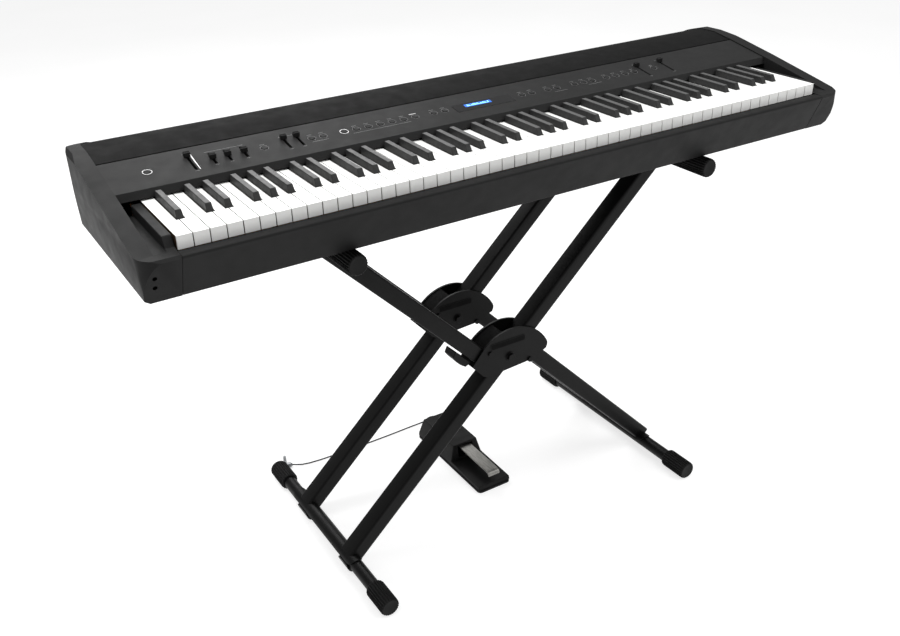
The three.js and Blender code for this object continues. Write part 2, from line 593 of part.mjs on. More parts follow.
// A slider: a knob above the panel, a stem through the slot and a foot below it.
function slider(x, middle, half, place) {
  const underside = -PANEL_THICKNESS - SLIDE_GAP;
  const knob = alongX([
    [-KNOB_LENGTH / 2, KNOB_LIFT], [KNOB_LENGTH / 2, KNOB_LIFT], [KNOB_LENGTH / 2 - 1, KNOB_LIFT + KNOB_RISE],
    [0, KNOB_LIFT + KNOB_RISE - 1.5], [1 - KNOB_LENGTH / 2, KNOB_LIFT + KNOB_RISE],
  ], -KNOB_WIDTH / 2, KNOB_WIDTH / 2);
  const centred = (width, length, z0, z1) =>
    block([-width / 2, -length / 2, z0], [width / 2, length / 2, z1]);
  const stem = centred(STEM_WIDTH, STEM_LENGTH, underside - 1, KNOB_LIFT + 1);
  const base = centred(KNOB_WIDTH, KNOB_LENGTH, underside - 2, underside);
  return onPanel(join(knob, stem, base), x, middle + place * knobTravel(half));
}

// Buttons stand on one carrier strip under the panel.
function buttonCarrier(places) {
  const strip = block([places[0] - BUTTON_RADIUS, -CARRIER_WIDTH / 2, -CARRIER_DROP - 2],
    [places.at(-1) + BUTTON_RADIUS, CARRIER_WIDTH / 2, -CARRIER_DROP]);
  const buttons = places.map((x) =>
    rod(BUTTON_RADIUS, CARRIER_DROP + 1 + BUTTON_RISE, 8).rotateX(Math.PI / 2)
      .translate(x, 0, (BUTTON_RISE - CARRIER_DROP - 1) / 2));
  return onPanel(join(strip, ...buttons), 0, ROW);
}

function keyBed() {
  const base = CASE_BOTTOM + CASE_WALL + GAP;
  const front = KEY_FRONT_Y + 18;
  const balance = KEY_PIVOT_Y - 8;
  return alongX([
    [front, base], [KEY_PIVOT_Y + 30, base], [KEY_PIVOT_Y + 30, base + 3], [KEY_PIVOT_Y + 8, base + 3],
    [KEY_PIVOT_Y + 8, KEY_TOP - KEY_HEIGHT - 2], [balance, KEY_TOP - KEY_HEIGHT - 2], [balance, base + 3],
    [front + 4, base + 3], [front + 4, KEY_TOP - KEY_HEIGHT - 13], [front, KEY_TOP - KEY_HEIGHT - 13],
  ], 5 - KEYS_HALF, KEYS_HALF - 5);
}

function mainBoard() {
  const floor = CASE_BOTTOM + CASE_WALL + GAP;
  const y = KEY_PIVOT_Y + 34;
  const postX = BOARD_LENGTH / 2 - 14;
  const board = block([-BOARD_LENGTH / 2, y, floor + 10], [BOARD_LENGTH / 2, y + BOARD_DEPTH, floor + 12]);
  const posts = [[-1, 8], [1, 8], [-1, BOARD_DEPTH - 8], [1, BOARD_DEPTH - 8]].map(([side, inset]) =>
    block([side * postX - 3, y + inset - 3, floor], [side * postX + 3, y + inset + 3, floor + 11]));
  const chips = [-0.3, -0.05, 0.22].map((share) =>
    block([share * BOARD_LENGTH - 14, y + 20, floor + 11], [share * BOARD_LENGTH + 14, y + 48, floor + 15]));
  return join(board, ...posts, ...chips);
}

// A speaker stands on its magnet, with its cone facing up under the cover.
function speaker(x) {
  const floor = CASE_BOTTOM + CASE_WALL + GAP;
  const rim = KEY_TOP + 20;
  return turned([
    [0, floor], [26, floor], [26, floor + 24], [16, floor + 26], [SPEAKER_RADIUS - 4, rim - 4],
    [SPEAKER_RADIUS, rim - 4], [SPEAKER_RADIUS, rim], [SPEAKER_RADIUS - 6, rim],
    [12, rim - 24], [0, rim - 20],
  ], 16).rotateX(Math.PI / 2).translate(x, (PANEL_REAR.y + CASE_REAR) / 2, 0);
}

function buildCase() {
  add('bottom_case', 'case_satin', bottomCase());
  add('left_end_block', 'case_satin', leftEndBlock());
  add('right_end_block', 'case_satin', endBlock());
  add('front_rail', 'case_satin', frontRail());
  add('control_panel', 'panel_satin', controlPanel());
  add('speaker_cover', 'cover_dark', speakerCover());
  add('display_lens', 'display', displayLens());
  add('key_bed', 'bed_wood', keyBed());
  add('main_board', 'board', mainBoard());
  add('speaker_left', 'speaker_paper', speaker(-SPEAKER_X));
  add('speaker_right', 'speaker_paper', speaker(SPEAKER_X));
  for (const [name, ...size] of SLIDERS) add(name, 'case_satin', slider(...size));
  add('buttons_left', 'panel_satin', buttonCarrier(BUTTONS.left));
  add('buttons_right', 'panel_satin', buttonCarrier(BUTTONS.right));
}

// ---- Keys ---------------------------------------------------------------------------------------
// Notes are numbered from 0 at the bass end, which is an A.
function isWhite(note) {
  return WHITE.includes(note % 12);
}

function seamBefore(note) {
  const whites = Math.floor(note / 12) * 7 + WHITE.filter((step) => step < note % 12).length;
  return -KEYS_HALF + whites * WHITE_PITCH;
}

function blackMiddle(note) {
  return seamBefore(note) + BLACK_SHIFT[note % 12];
}

// The plan of a white key, narrowed at the back where black keys stand beside it.
function whitePlan(note) {
  const left = seamBefore(note) + KEY_SPACE / 2;
  const right = left + WHITE_PITCH - KEY_SPACE;
  const beside = BLACK_WIDTH / 2 + KEY_SPACE;
  const blackBefore = note > 0 && !isWhite(note - 1);
  const blackAfter = note < 87 && !isWhite(note + 1);
  const backLeft = blackBefore ? blackMiddle(note - 1) + beside : left;
  const backRight = blackAfter ? blackMiddle(note + 1) - beside : right;
  const step = LIP_Y - BLACK_LENGTH - KEY_SPACE;
  const back = KEY_PIVOT_Y + BANK_RAIL_DEPTH - 2;
  const points = [[left, KEY_FRONT_Y], [right, KEY_FRONT_Y]];
  if (blackAfter) points.push([right, step], [backRight, step]);
  points.push([backRight, back], [backLeft, back]);
  if (blackBefore) points.push([backLeft, step], [left, step]);
  return points;
}

function whiteKey(note) {
  return slab(whitePlan(note), KEY_TOP - KEY_HEIGHT, KEY_TOP);
}

// A black key: a stem level with the white keys, and the raised part in front of the panel's lip.
function blackKey(note) {
  const middle = blackMiddle(note);
  const front = LIP_Y - BLACK_LENGTH;
  const end = LIP_Y - SLIDE_GAP;
  const profile = [
    [front, KEY_TOP - KEY_HEIGHT], [KEY_PIVOT_Y + BANK_RAIL_DEPTH - 2, KEY_TOP - KEY_HEIGHT],
    [KEY_PIVOT_Y + BANK_RAIL_DEPTH - 2, KEY_TOP], [end, KEY_TOP], [end, KEY_TOP + BLACK_RISE],
    [front + BLACK_SLOPE, KEY_TOP + BLACK_RISE - 1], [front, KEY_TOP + 1],
  ];
  return alongX(profile, middle - BLACK_WIDTH / 2, middle + BLACK_WIDTH / 2);
}

function key(note) {
  return isWhite(note) ? whiteKey(note) : blackKey(note);
}

// A bank is a run of keys on one rail behind the panel.
function keyBank(from, to) {
  const notes = Array.from({ length: to - from + 1 }, (_, i) => from + i);
  const left = seamBefore(from) + KEY_SPACE / 2;
  const right = seamBefore(to) + WHITE_PITCH - KEY_SPACE / 2;
  const rail = block([left, KEY_PIVOT_Y - 2, KEY_TOP - KEY_HEIGHT],
    [right, KEY_PIVOT_Y + BANK_RAIL_DEPTH, KEY_TOP - 1]);
  return join(rail, ...notes.map(key));
}

function buildKeys() {
  add('keys_low', 'key_white', keyBank(0, 38));
  const middle = { key_c4: 39, key_c_sharp_4: 40, key_d4: 41, key_d_sharp_4: 42, key_e4: 43 };
  for (const [name, note] of Object.entries(middle)) {
    add(name, isWhite(note) ? 'key_white' : 'key_black', key(note));
  }
  add('keys_high', 'key_white', keyBank(44, 87));
}

// ---- Pedal --------------------------------------------------------------------------------------
function pedalSole() {
  const shape = roundedRectangle(PEDAL_WIDTH / 2, (PEDAL_REAR - PEDAL_FRONT) / 2, 9);
  return slab(shape, 0, SOLE_THICKNESS).translate(PEDAL_X, (PEDAL_REAR + PEDAL_FRONT) / 2, 0);
}

// The housing: a low deck in front, a tall part with sloping sides behind, open underneath.
function pedalHousing() {
  const low = SOLE_THICKNESS + GAP;
  const half = PEDAL_WIDTH / 2 - 1;
  const shell = (inset, bottom) => {
    const side = half - inset;
    const upper = HOUSING_TOP_WIDTH / 2 - inset;
    const ends = alongX([
      [PEDAL_FRONT + 2 + inset, bottom], [PEDAL_REAR - 2 - inset, bottom],
      [PEDAL_REAR - 12 - inset, HOUSING_TOP - inset],
      [HOUSING_FRONT + 4 + inset, HOUSING_TOP - inset], [HOUSING_FRONT + inset, DECK_TOP - inset],
      [PEDAL_FRONT + 4 + inset, DECK_TOP - inset],
    ], -side, side);
    const across = alongY([
      [-side, bottom], [side, bottom], [side, DECK_TOP],
      [upper, HOUSING_TOP], [-upper, HOUSING_TOP], [-side, DECK_TOP],
    ], PEDAL_FRONT, PEDAL_REAR);
    return common(ends, across).translate(PEDAL_X, 0, 0);
  };
  const mouth = LEVER_WIDTH / 2 + LEVER_CLEARANCE;
  const opening = block([PEDAL_X - mouth, HOUSING_FRONT - 10, DECK_TOP + 4],
    [PEDAL_X + mouth, HOUSING_FRONT + 24, LEVER_TOP + LEVER_CLEARANCE - 1]);
  return cut(shell(0, low), shell(HOUSING_WALL, low - 1), opening);
}

// The metal lever, with the two stub axles that it turns on inside the housing.
function pedalLever() {
  const bottom = LEVER_TOP - LEVER_THICKNESS;
  const blade = alongX([
    [LEVER_FRONT, bottom - 6], [LEVER_FRONT + 2, bottom - 6], [LEVER_FRONT + 5, bottom - 2],
    [LEVER_FRONT + 12, bottom], [LEVER_AXLE_Y, bottom], [LEVER_AXLE_Y, LEVER_TOP],
    [LEVER_FRONT + 10, LEVER_TOP], [LEVER_FRONT + 3, LEVER_TOP - 2], [LEVER_FRONT, LEVER_TOP - 6],
  ], -LEVER_WIDTH / 2, LEVER_WIDTH / 2);
  const axle = rod(TRUNNION_RADIUS, LEVER_WIDTH + 14, 12).rotateZ(Math.PI / 2)
    .translate(0, LEVER_AXLE_Y, LEVER_TOP - LEVER_THICKNESS / 2);
  return join(blade, axle).translate(PEDAL_X, 0, 0);
}

// ---- Cord and plug ------------------------------------------------------------------------------
function strainRelief() {
  const x = COIL_CENTRE.x + COIL_MEAN_RADIUS;
  const back = PEDAL_REAR + GAP;
  return turned([
    [0, 0], [CORD_DIAMETER, 0], [CORD_DIAMETER, 3], [CORD_DIAMETER / 2 + 0.6, RELIEF_LENGTH],
    [0, RELIEF_LENGTH],
  ], 12).translate(x, back, RELIEF_Z);
}

function coil() {
  const inner = COIL_MEAN_RADIUS - COIL_WIDTH / 2;
  const outer = COIL_MEAN_RADIUS + COIL_WIDTH / 2;
  const section = [[inner, 0.1], [outer, 0.1], [outer, COIL_HEIGHT], [inner, COIL_HEIGHT], [inner, 0.1]];
  const ring = turned(section, 24);
  return ring.rotateX(Math.PI / 2).translate(COIL_CENTRE.x, COIL_CENTRE.y, 0);
}

function cordCurve() {
  return new THREE.CatmullRomCurve3(CORD_ROUTE.map(([x, y, z]) => new THREE.Vector3(x, y, z)));
}

function cord() {
  const section = new THREE.Shape();
  for (let i = 0; i < CORD_SIDES; i += 1) {
    const angle = 2 * Math.PI * i / CORD_SIDES;
    const point = [CORD_DIAMETER / 2 * Math.cos(angle), CORD_DIAMETER / 2 * Math.sin(angle)];
    if (i === 0) section.moveTo(...point);
    else section.lineTo(...point);
  }
  const options = { extrudePath: cordCurve(), steps: CORD_STEPS, bevelEnabled: false };
  return new THREE.ExtrudeGeometry(section, options);
}

// A right-angled plug: its body carries on from the cord, and its shaft leaves the body's side.
function plug() {
  const curve = cordCurve();
  const end = curve.getPointAt(1);
  const ahead = curve.getTangentAt(1).setZ(0).normalize();
  const body = turned([
    [0, 0], [CORD_DIAMETER / 2 + 0.8, 0], [PLUG_RADIUS, 4], [PLUG_RADIUS, PLUG_LENGTH - 1],
    [PLUG_RADIUS - 1, PLUG_LENGTH], [0, PLUG_LENGTH],
  ], 12);
  const reach = PLUG_RADIUS + PLUG_SHAFT_LENGTH;
  const shaft = turned([
    [0, 0], [PLUG_SHAFT_RADIUS, 0], [PLUG_SHAFT_RADIUS, reach - 6], [2.4, reach - 4.5],
    [PLUG_SHAFT_RADIUS, reach - 3], [1.2, reach], [0, reach],
  ], 12).rotateZ(-Math.PI / 2).translate(0, PLUG_LENGTH - PLUG_RADIUS, 0);
  const turn = new THREE.Quaternion().setFromUnitVectors(new THREE.Vector3(0, 1, 0), ahead);
  return join(body, shaft).applyQuaternion(turn)
    .translate(end.x + GAP * ahead.x, end.y + GAP * ahead.y, PLUG_RADIUS + 0.1);
}

function buildPedal() {
  add('pedal_sole', 'rubber', pedalSole());
  add('pedal_housing', 'case_satin', pedalHousing());
  add('pedal_lever', 'pedal_metal', pedalLever());
  add('strain_relief', 'rubber', strainRelief());
  add('cord', 'cord_black', cord());
  add('cord_coil', 'cord_black', coil());
  add('plug', 'steel', plug());
}

buildStand();
buildCase();
buildKeys();
buildPedal();

export default group;
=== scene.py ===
"""Looks of a digital piano on a folding X stand, with its pedal and cord.

Lengths are in millimetres, except that the camera and the lights are placed in metres.
"""
import json
import math

import bmesh
import bpy
from mathutils import Matrix, Vector


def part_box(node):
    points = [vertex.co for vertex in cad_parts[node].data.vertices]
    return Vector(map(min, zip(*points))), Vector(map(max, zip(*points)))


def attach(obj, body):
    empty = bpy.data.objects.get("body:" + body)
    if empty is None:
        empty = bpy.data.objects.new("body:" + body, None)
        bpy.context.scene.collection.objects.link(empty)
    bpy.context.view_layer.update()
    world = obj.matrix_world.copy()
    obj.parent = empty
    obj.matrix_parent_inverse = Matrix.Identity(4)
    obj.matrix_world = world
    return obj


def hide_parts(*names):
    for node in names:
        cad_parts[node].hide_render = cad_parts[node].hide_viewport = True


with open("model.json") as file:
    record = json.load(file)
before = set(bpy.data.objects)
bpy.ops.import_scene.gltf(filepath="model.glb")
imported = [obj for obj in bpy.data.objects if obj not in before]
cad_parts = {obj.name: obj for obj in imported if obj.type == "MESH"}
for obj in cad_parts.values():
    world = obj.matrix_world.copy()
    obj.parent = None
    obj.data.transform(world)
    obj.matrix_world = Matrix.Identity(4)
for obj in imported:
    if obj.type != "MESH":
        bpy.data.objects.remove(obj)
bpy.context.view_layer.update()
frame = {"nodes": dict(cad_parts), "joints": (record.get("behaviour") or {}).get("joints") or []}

MM = 0.001
SMOOTH_ANGLE = math.radians(38)

# ---- Sizes that the CAD also has -----------------------------------------------------------------
JOINTS = {joint["name"]: joint for joint in frame["joints"]}
WHITE = (0, 2, 3, 5, 7, 8, 10)
BLACK_SHIFT = {1: 2.5, 4: -2.0, 6: 2.0, 9: -2.5, 11: 0.0}
WHITE_PITCH = 23.5
KEY_SPACE = 1.0
KEY_FRONT_Y = -210.0
KEY_HEIGHT = 20.0
LIP_Y = -58.0
BLACK_WIDTH = 11.0
BLACK_LENGTH = 96.0
BLACK_RISE = 12.0
KEY_BACK_Y = 38.0
KEYS_HALF = 52 * WHITE_PITCH / 2
PANEL_SLOPE = math.atan2(18, 90)
PANEL_THICKNESS = 3.0
ROW = 45.0
BUTTON_RADIUS = 5.5
BUTTONS = {
    "left": (-583, -400, -320, -300, -263, -241, -219, -197, -175, -153, -131, -95, -73),
    "right": (87, 108, 143, 164, 204, 225, 245, 279, 301, 324, 346, 395),
}
SLIDERS = {
    "volume_slider": (-516, 46, 23), "tone_slider_1": (-483, 46, 17), "tone_slider_2": (-459, 46, 17),
    "tone_slider_3": (-433, 46, 17), "part_slider_1": (-362, 46, 17), "part_slider_2": (-340, 46, 17),
    "mic_slider": (366, 43, 23), "level_slider": (424, 43, 23),
}
SLOT_WIDTH = 4.2
CORD_DIAMETER = 2.8
COIL_CENTRE = (14.0, 222.5)
COIL_RADIUS = 15.0
CORD_ROUTE = (
    (-2, 240.8, 1.6), (-18, 240.4, 1.6), (-44, 240.2, 1.6), (-72, 239.2, 1.6), (-102, 238.6, 1.6),
    (-134, 238.4, 1.6), (-166, 238.6, 1.6), (-198, 239.2, 1.6), (-230, 240.0, 1.6),
    (-262, 241.4, 1.6), (-288, 244.2, 1.6), (-304, 247.6, 2.2), (-316, 251.2, 4.2), (-323, 253.6, 5.8),
)


def mm_box(node):
    """Lowest and highest corner of a CAD node, in millimetres."""
    low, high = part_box(node)
    return low / MM, high / MM


KEY_TOP = mm_box("key_c4")[1].z
PANEL_FRONT = (-53.0, KEY_TOP + 15)
PANEL_LENGTH = 92.0


# ---- Camera --------------------------------------------------------------------------------------
CAMERA_PLACE_M = (-0.9271, -1.4165, 1.2824)
CAMERA_TURN = (0.544, 0.491, -0.031)     # yaw, pitch and roll, in radians
CAMERA_LENS = 39.75
CAMERA_SENSOR = 36


def make_camera():
    yaw, pitch, roll = CAMERA_TURN
    level = math.cos(pitch)
    ahead = Vector((math.sin(yaw) * level, math.cos(yaw) * level, -math.sin(pitch)))
    right = Vector((math.cos(yaw), -math.sin(yaw), 0))
    up = right.cross(ahead)
    across = math.cos(roll) * right + math.sin(roll) * up
    upward = math.cos(roll) * up - math.sin(roll) * right
    data = bpy.data.cameras.new("camera")
    data.lens = CAMERA_LENS
    data.sensor_width = CAMERA_SENSOR
    camera = bpy.data.objects.new("camera", data)
    bpy.context.scene.collection.objects.link(camera)
    turn = Matrix((across, upward, -ahead)).transposed().to_4x4()
    camera.matrix_world = Matrix.Translation(CAMERA_PLACE_M) @ turn
    bpy.context.scene.camera = camera


# ---- Mesh helpers --------------------------------------------------------------------------------
def along_x(u, v, w):
    return (w, u, v)


def along_y(u, v, w):
    return (u, w, v)


def along_z(u, v, w):
    return (u, v, w)


def on_panel(x, slope, height):
    """The place of a point of the sloping panel: along it, up its slope and out of it."""
    return (x, PANEL_FRONT[0] + slope * math.cos(PANEL_SLOPE) - height * math.sin(PANEL_SLOPE),
            PANEL_FRONT[1] + slope * math.sin(PANEL_SLOPE) + height * math.cos(PANEL_SLOPE))


def on_circle(centre, radius, angle):
    return (centre[0] + radius * math.cos(angle), centre[1] + radius * math.sin(angle))


class Solid:
    """Points in millimetres and faces, gathered from simple closed shapes."""

    def __init__(self):
        self.points = []
        self.faces = []

    def take(self, points, faces):
        base = len(self.points)
        self.points += points
        self.faces += [[base + i for i in face] for face in faces]
        return self

    def prism(self, outline, low, high, place=along_z):
        n = len(outline)
        points = [place(u, v, low) for u, v in outline] + [place(u, v, high) for u, v in outline]
        faces = [list(range(n))[::-1], list(range(n, 2 * n))]
        faces += [[i, (i + 1) % n, n + (i + 1) % n, n + i] for i in range(n)]
        return self.take(points, faces)

    def box(self, low, high, place=along_z):
        outline = [(low[0], low[1]), (high[0], low[1]), (high[0], high[1]), (low[0], high[1])]
        return self.prism(outline, low[2], high[2], place)

    def turned(self, profile, place=along_z, segments=32, centre=(0, 0)):
        """A closed solid of revolution from (radius, height) points that start and end on the axis."""
        inner = profile[1:-1]
        points = [place(centre[0], centre[1], profile[0][1]), place(centre[0], centre[1], profile[-1][1])]
        for radius, height in inner:
            for k in range(segments):
                a = 2 * math.pi * k / segments
                points.append(place(*on_circle(centre, radius, a), height))
        faces = []
        last = 2 + (len(inner) - 1) * segments
        for k in range(segments):
            j = (k + 1) % segments
            faces.append([0, 2 + j, 2 + k])
            faces.append([1, last + k, last + j])
            for r in range(len(inner) - 1):
                a = 2 + r * segments
                faces.append([a + k, a + j, a + segments + j, a + segments + k])
        return self.take(points, faces)

    def ring(self, profile, place=along_z, segments=32, centre=(0, 0)):
        """A solid of revolution from a closed loop of (radius, height) points clear of the axis."""
        count = len(profile)
        points = []
        for radius, height in profile:
            for k in range(segments):
                a = 2 * math.pi * k / segments
                points.append(place(*on_circle(centre, radius, a), height))
        faces = []
        for r in range(count):
            a, b = r * segments, (r + 1) % count * segments
            for k in range(segments):
                j = (k + 1) % segments
                faces.append([a + k, a + j, b + j, b + k])
        return self.take(points, faces)

    def make(self, name):
        mesh = bpy.data.meshes.new(name)
        mesh.from_pydata([Vector(p) * MM for p in self.points], [], self.faces)
        work = bmesh.new()
        work.from_mesh(mesh)
        bmesh.ops.recalc_face_normals(work, faces=work.faces)
        work.to_mesh(mesh)
        work.free()
        piece = bpy.data.objects.new(name, mesh)
        bpy.context.scene.collection.objects.link(piece)
        return piece


def rounded_outline(half_u, half_v, radius, steps=5, centre=(0, 0)):
    points = []
    for su, sv, start in ((1, -1, -90), (1, 1, 0), (-1, 1, 90), (-1, -1, 180)):
        for k in range(steps + 1):
            a = math.radians(start + 90 * k / steps)
            points.append((centre[0] + su * (half_u - radius) + radius * math.cos(a),
                           centre[1] + sv * (half_v - radius) + radius * math.sin(a)))
    return points


def smooth(piece, angle=SMOOTH_ANGLE):
    piece.data.polygons.foreach_set("use_smooth", [True] * len(piece.data.polygons))
    piece.data.set_sharp_from_angle(angle=angle)


def round_edges(piece, width, segments=3, angle=30):
    bevel = piece.modifiers.new("round", "BEVEL")
    bevel.width = width * MM
    bevel.segments = segments
    bevel.limit_method = "ANGLE"
    bevel.angle_limit = math.radians(angle)
    bevel.use_clamp_overlap = True
    bevel.harden_normals = True


def dress(piece, body, material, nodes=(), edge=0, segments=3, angle=30):
    """Gives a piece its rounded edges, material and body, and hides the CAD nodes it stands for."""
    smooth(piece)
    if edge:
        round_edges(piece, edge, segments, angle)
    piece.data.materials.clear()
    piece.data.materials.append(material)
    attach(piece, body)
    if nodes:
        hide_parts(*nodes)
    return piece


def copy_node(node, name):
    """A new piece with a CAD node's shape, its flat faces whole again so that edges can be rounded."""
    mesh = frame["nodes"][node].data.copy()
    mesh.name = name
    work = bmesh.new()
    work.from_mesh(mesh)
    bmesh.ops.remove_doubles(work, verts=work.verts, dist=2e-6)
    bmesh.ops.dissolve_limit(work, angle_limit=math.radians(0.6), verts=work.verts, edges=work.edges)
    for layer in list(work.loops.layers.uv):
        work.loops.layers.uv.remove(layer)
    work.to_mesh(mesh)
    work.free()
    if mesh.attributes.get("custom_normal"):
        mesh.attributes.remove(mesh.attributes["custom_normal"])
    piece = bpy.data.objects.new(name, mesh)
    bpy.context.scene.collection.objects.link(piece)
    return piece


def cut_away(piece, cutter):
    modifier = piece.modifiers.new("cut", "BOOLEAN")
    modifier.operation = "DIFFERENCE"
    modifier.solver = "EXACT"
    modifier.object = cutter
    bpy.context.view_layer.update()
    depsgraph = bpy.context.evaluated_depsgraph_get()
    made = bpy.data.meshes.new_from_object(piece.evaluated_get(depsgraph))
    piece.modifiers.clear()
    piece.data = made
    bpy.data.objects.remove(cutter)
    return piece


# ---- Materials -----------------------------------------------------------------------------------
def srgb(value):
    c = value / 255
    return c / 12.92 if c <= 0.04045 else ((c + 0.055) / 1.055) ** 2.4


def colour(red, green, blue):
    return (srgb(red), srgb(green), srgb(blue), 1)


def grey(value):
    return colour(value, value, value)


def material_base(name, roughness, metallic=0.0):
    material = bpy.data.materials.new(name)
    material.use_nodes = True
    tree = material.node_tree
    shader = tree.nodes["Principled BSDF"]
    shader.inputs["Roughness"].default_value = roughness
    shader.inputs["Metallic"].default_value = metallic
    return material, tree, shader


def noise(tree, scale, detail=4.0, stretch=None):
    """A noise texture in the object's own coordinates; stretch scales its axes apart."""
    coordinates = tree.nodes.new("ShaderNodeTexCoord")
    mapping = tree.nodes.new("ShaderNodeMapping")
    mapping.inputs["Scale"].default_value = stretch or (1, 1, 1)
    texture = tree.nodes.new("ShaderNodeTexNoise")
    texture.inputs["Scale"].default_value = scale
    texture.inputs["Detail"].default_value = detail
    tree.links.new(coordinates.outputs["Object"], mapping.inputs["Vector"])
    tree.links.new(mapping.outputs["Vector"], texture.inputs["Vector"])
    return texture


def tint(tree, shader, texture, dark, light):
    ramp = tree.nodes.new("ShaderNodeValToRGB")
    ramp.color_ramp.elements[0].position = 0.35
    ramp.color_ramp.elements[1].position = 0.65
    ramp.color_ramp.elements[0].color = dark
    ramp.color_ramp.elements[1].color = light
    tree.links.new(texture.outputs["Fac"], ramp.inputs["Fac"])
    tree.links.new(ramp.outputs["Color"], shader.inputs["Base Color"])


def vary_roughness(tree, shader, texture, low, high):
    spread = tree.nodes.new("ShaderNodeMapRange")
    spread.inputs["From Min"].default_value = 0.3
    spread.inputs["From Max"].default_value = 0.7
    spread.inputs["To Min"].default_value = low
    spread.inputs["To Max"].default_value = high
    tree.links.new(texture.outputs["Fac"], spread.inputs["Value"])
    tree.links.new(spread.outputs["Result"], shader.inputs["Roughness"])


def bump(tree, shader, texture, strength, distance_mm):
    node = tree.nodes.new("ShaderNodeBump")
    node.inputs["Strength"].default_value = strength
    node.inputs["Distance"].default_value = distance_mm * MM
    tree.links.new(texture.outputs["Fac"], node.inputs["Height"])
    tree.links.new(node.outputs["Normal"], shader.inputs["Normal"])


def moulded(name, dark, light, low, high, grain, depth, strength=0.5, specular=0.5):
    """Moulded or painted surface: fine grain, a faint cloudy tint and uneven gloss."""
    material, tree, shader = material_base(name, (low + high) / 2)
    shader.inputs["Specular IOR Level"].default_value = specular
    tint(tree, shader, noise(tree, 9.0, 3.0), dark, light)
    vary_roughness(tree, shader, noise(tree, 40.0, 5.0), low, high)
    bump(tree, shader, noise(tree, grain, 2.0), strength, depth)
    return material


def black_with_painted_sheen(name, dark, light, above):
    """Grained black keys with a painted sheen: their upper faces are painted paler by the colour above, in
    place of a reflection; their sides stay dark.
    """
    material, tree, shader = material_base(name, 0.5)
    shader.inputs["Specular IOR Level"].default_value = 0.3
    surface = tree.nodes.new("ShaderNodeNewGeometry")
    parts = tree.nodes.new("ShaderNodeSeparateXYZ")
    tree.links.new(surface.outputs["Normal"], parts.inputs["Vector"])
    # painted sheen: faces that look up are mixed towards the paler grey, as if they reflected the light
    upward_sheen_mask = tree.nodes.new("ShaderNodeMapRange")
    upward_sheen_mask.inputs["From Min"].default_value = 0.8
    upward_sheen_mask.inputs["From Max"].default_value = 0.98
    tree.links.new(parts.outputs["Z"], upward_sheen_mask.inputs["Value"])
    tint(tree, shader, noise(tree, 220.0, 5.0), dark, light)
    base = shader.inputs["Base Color"].links[0].from_socket
    mix = tree.nodes.new("ShaderNodeMix")
    mix.data_type = "RGBA"
    tree.links.new(upward_sheen_mask.outputs["Result"], mix.inputs[0])
    tree.links.new(base, mix.inputs[6])
    mix.inputs[7].default_value = above
    tree.links.new(mix.outputs[2], shader.inputs["Base Color"])
    vary_roughness(tree, shader, noise(tree, 90.0, 5.0), 0.42, 0.58)
    bump(tree, shader, noise(tree, 2200.0, 2.0), 0.8, 0.05)
    return material


def brushed_metal(name, dark, light, low, high, stretch):
    material, tree, shader = material_base(name, (low + high) / 2, 1.0)
    streaks = noise(tree, 60.0, 6.0, stretch)
    tint(tree, shader, streaks, dark, light)
    vary_roughness(tree, shader, streaks, low, high)
    bump(tree, shader, streaks, 0.15, 0.05)
    return material


def wood(name, dark, light):
    material, tree, shader = material_base(name, 0.55)
    grain = noise(tree, 30.0, 6.0, (1, 0.08, 1))
    tint(tree, shader, grain, dark, light)
    vary_roughness(tree, shader, grain, 0.45, 0.65)
    bump(tree, shader, grain, 0.2, 0.1)
    return material


def glowing(name, shade, strength):
    material, tree, shader = material_base(name, 0.3)
    shader.inputs["Base Color"].default_value = shade
    texture = noise(tree, 300.0, 2.0)
    ramp = tree.nodes.new("ShaderNodeValToRGB")
    ramp.color_ramp.elements[0].color = tuple(0.75 * c for c in shade[:3]) + (1,)
    ramp.color_ramp.elements[1].color = shade
    tree.links.new(texture.outputs["Fac"], ramp.inputs["Fac"])
    tree.links.new(ramp.outputs["Color"], shader.inputs["Emission Color"])
    shader.inputs["Emission Strength"].default_value = strength
    return material


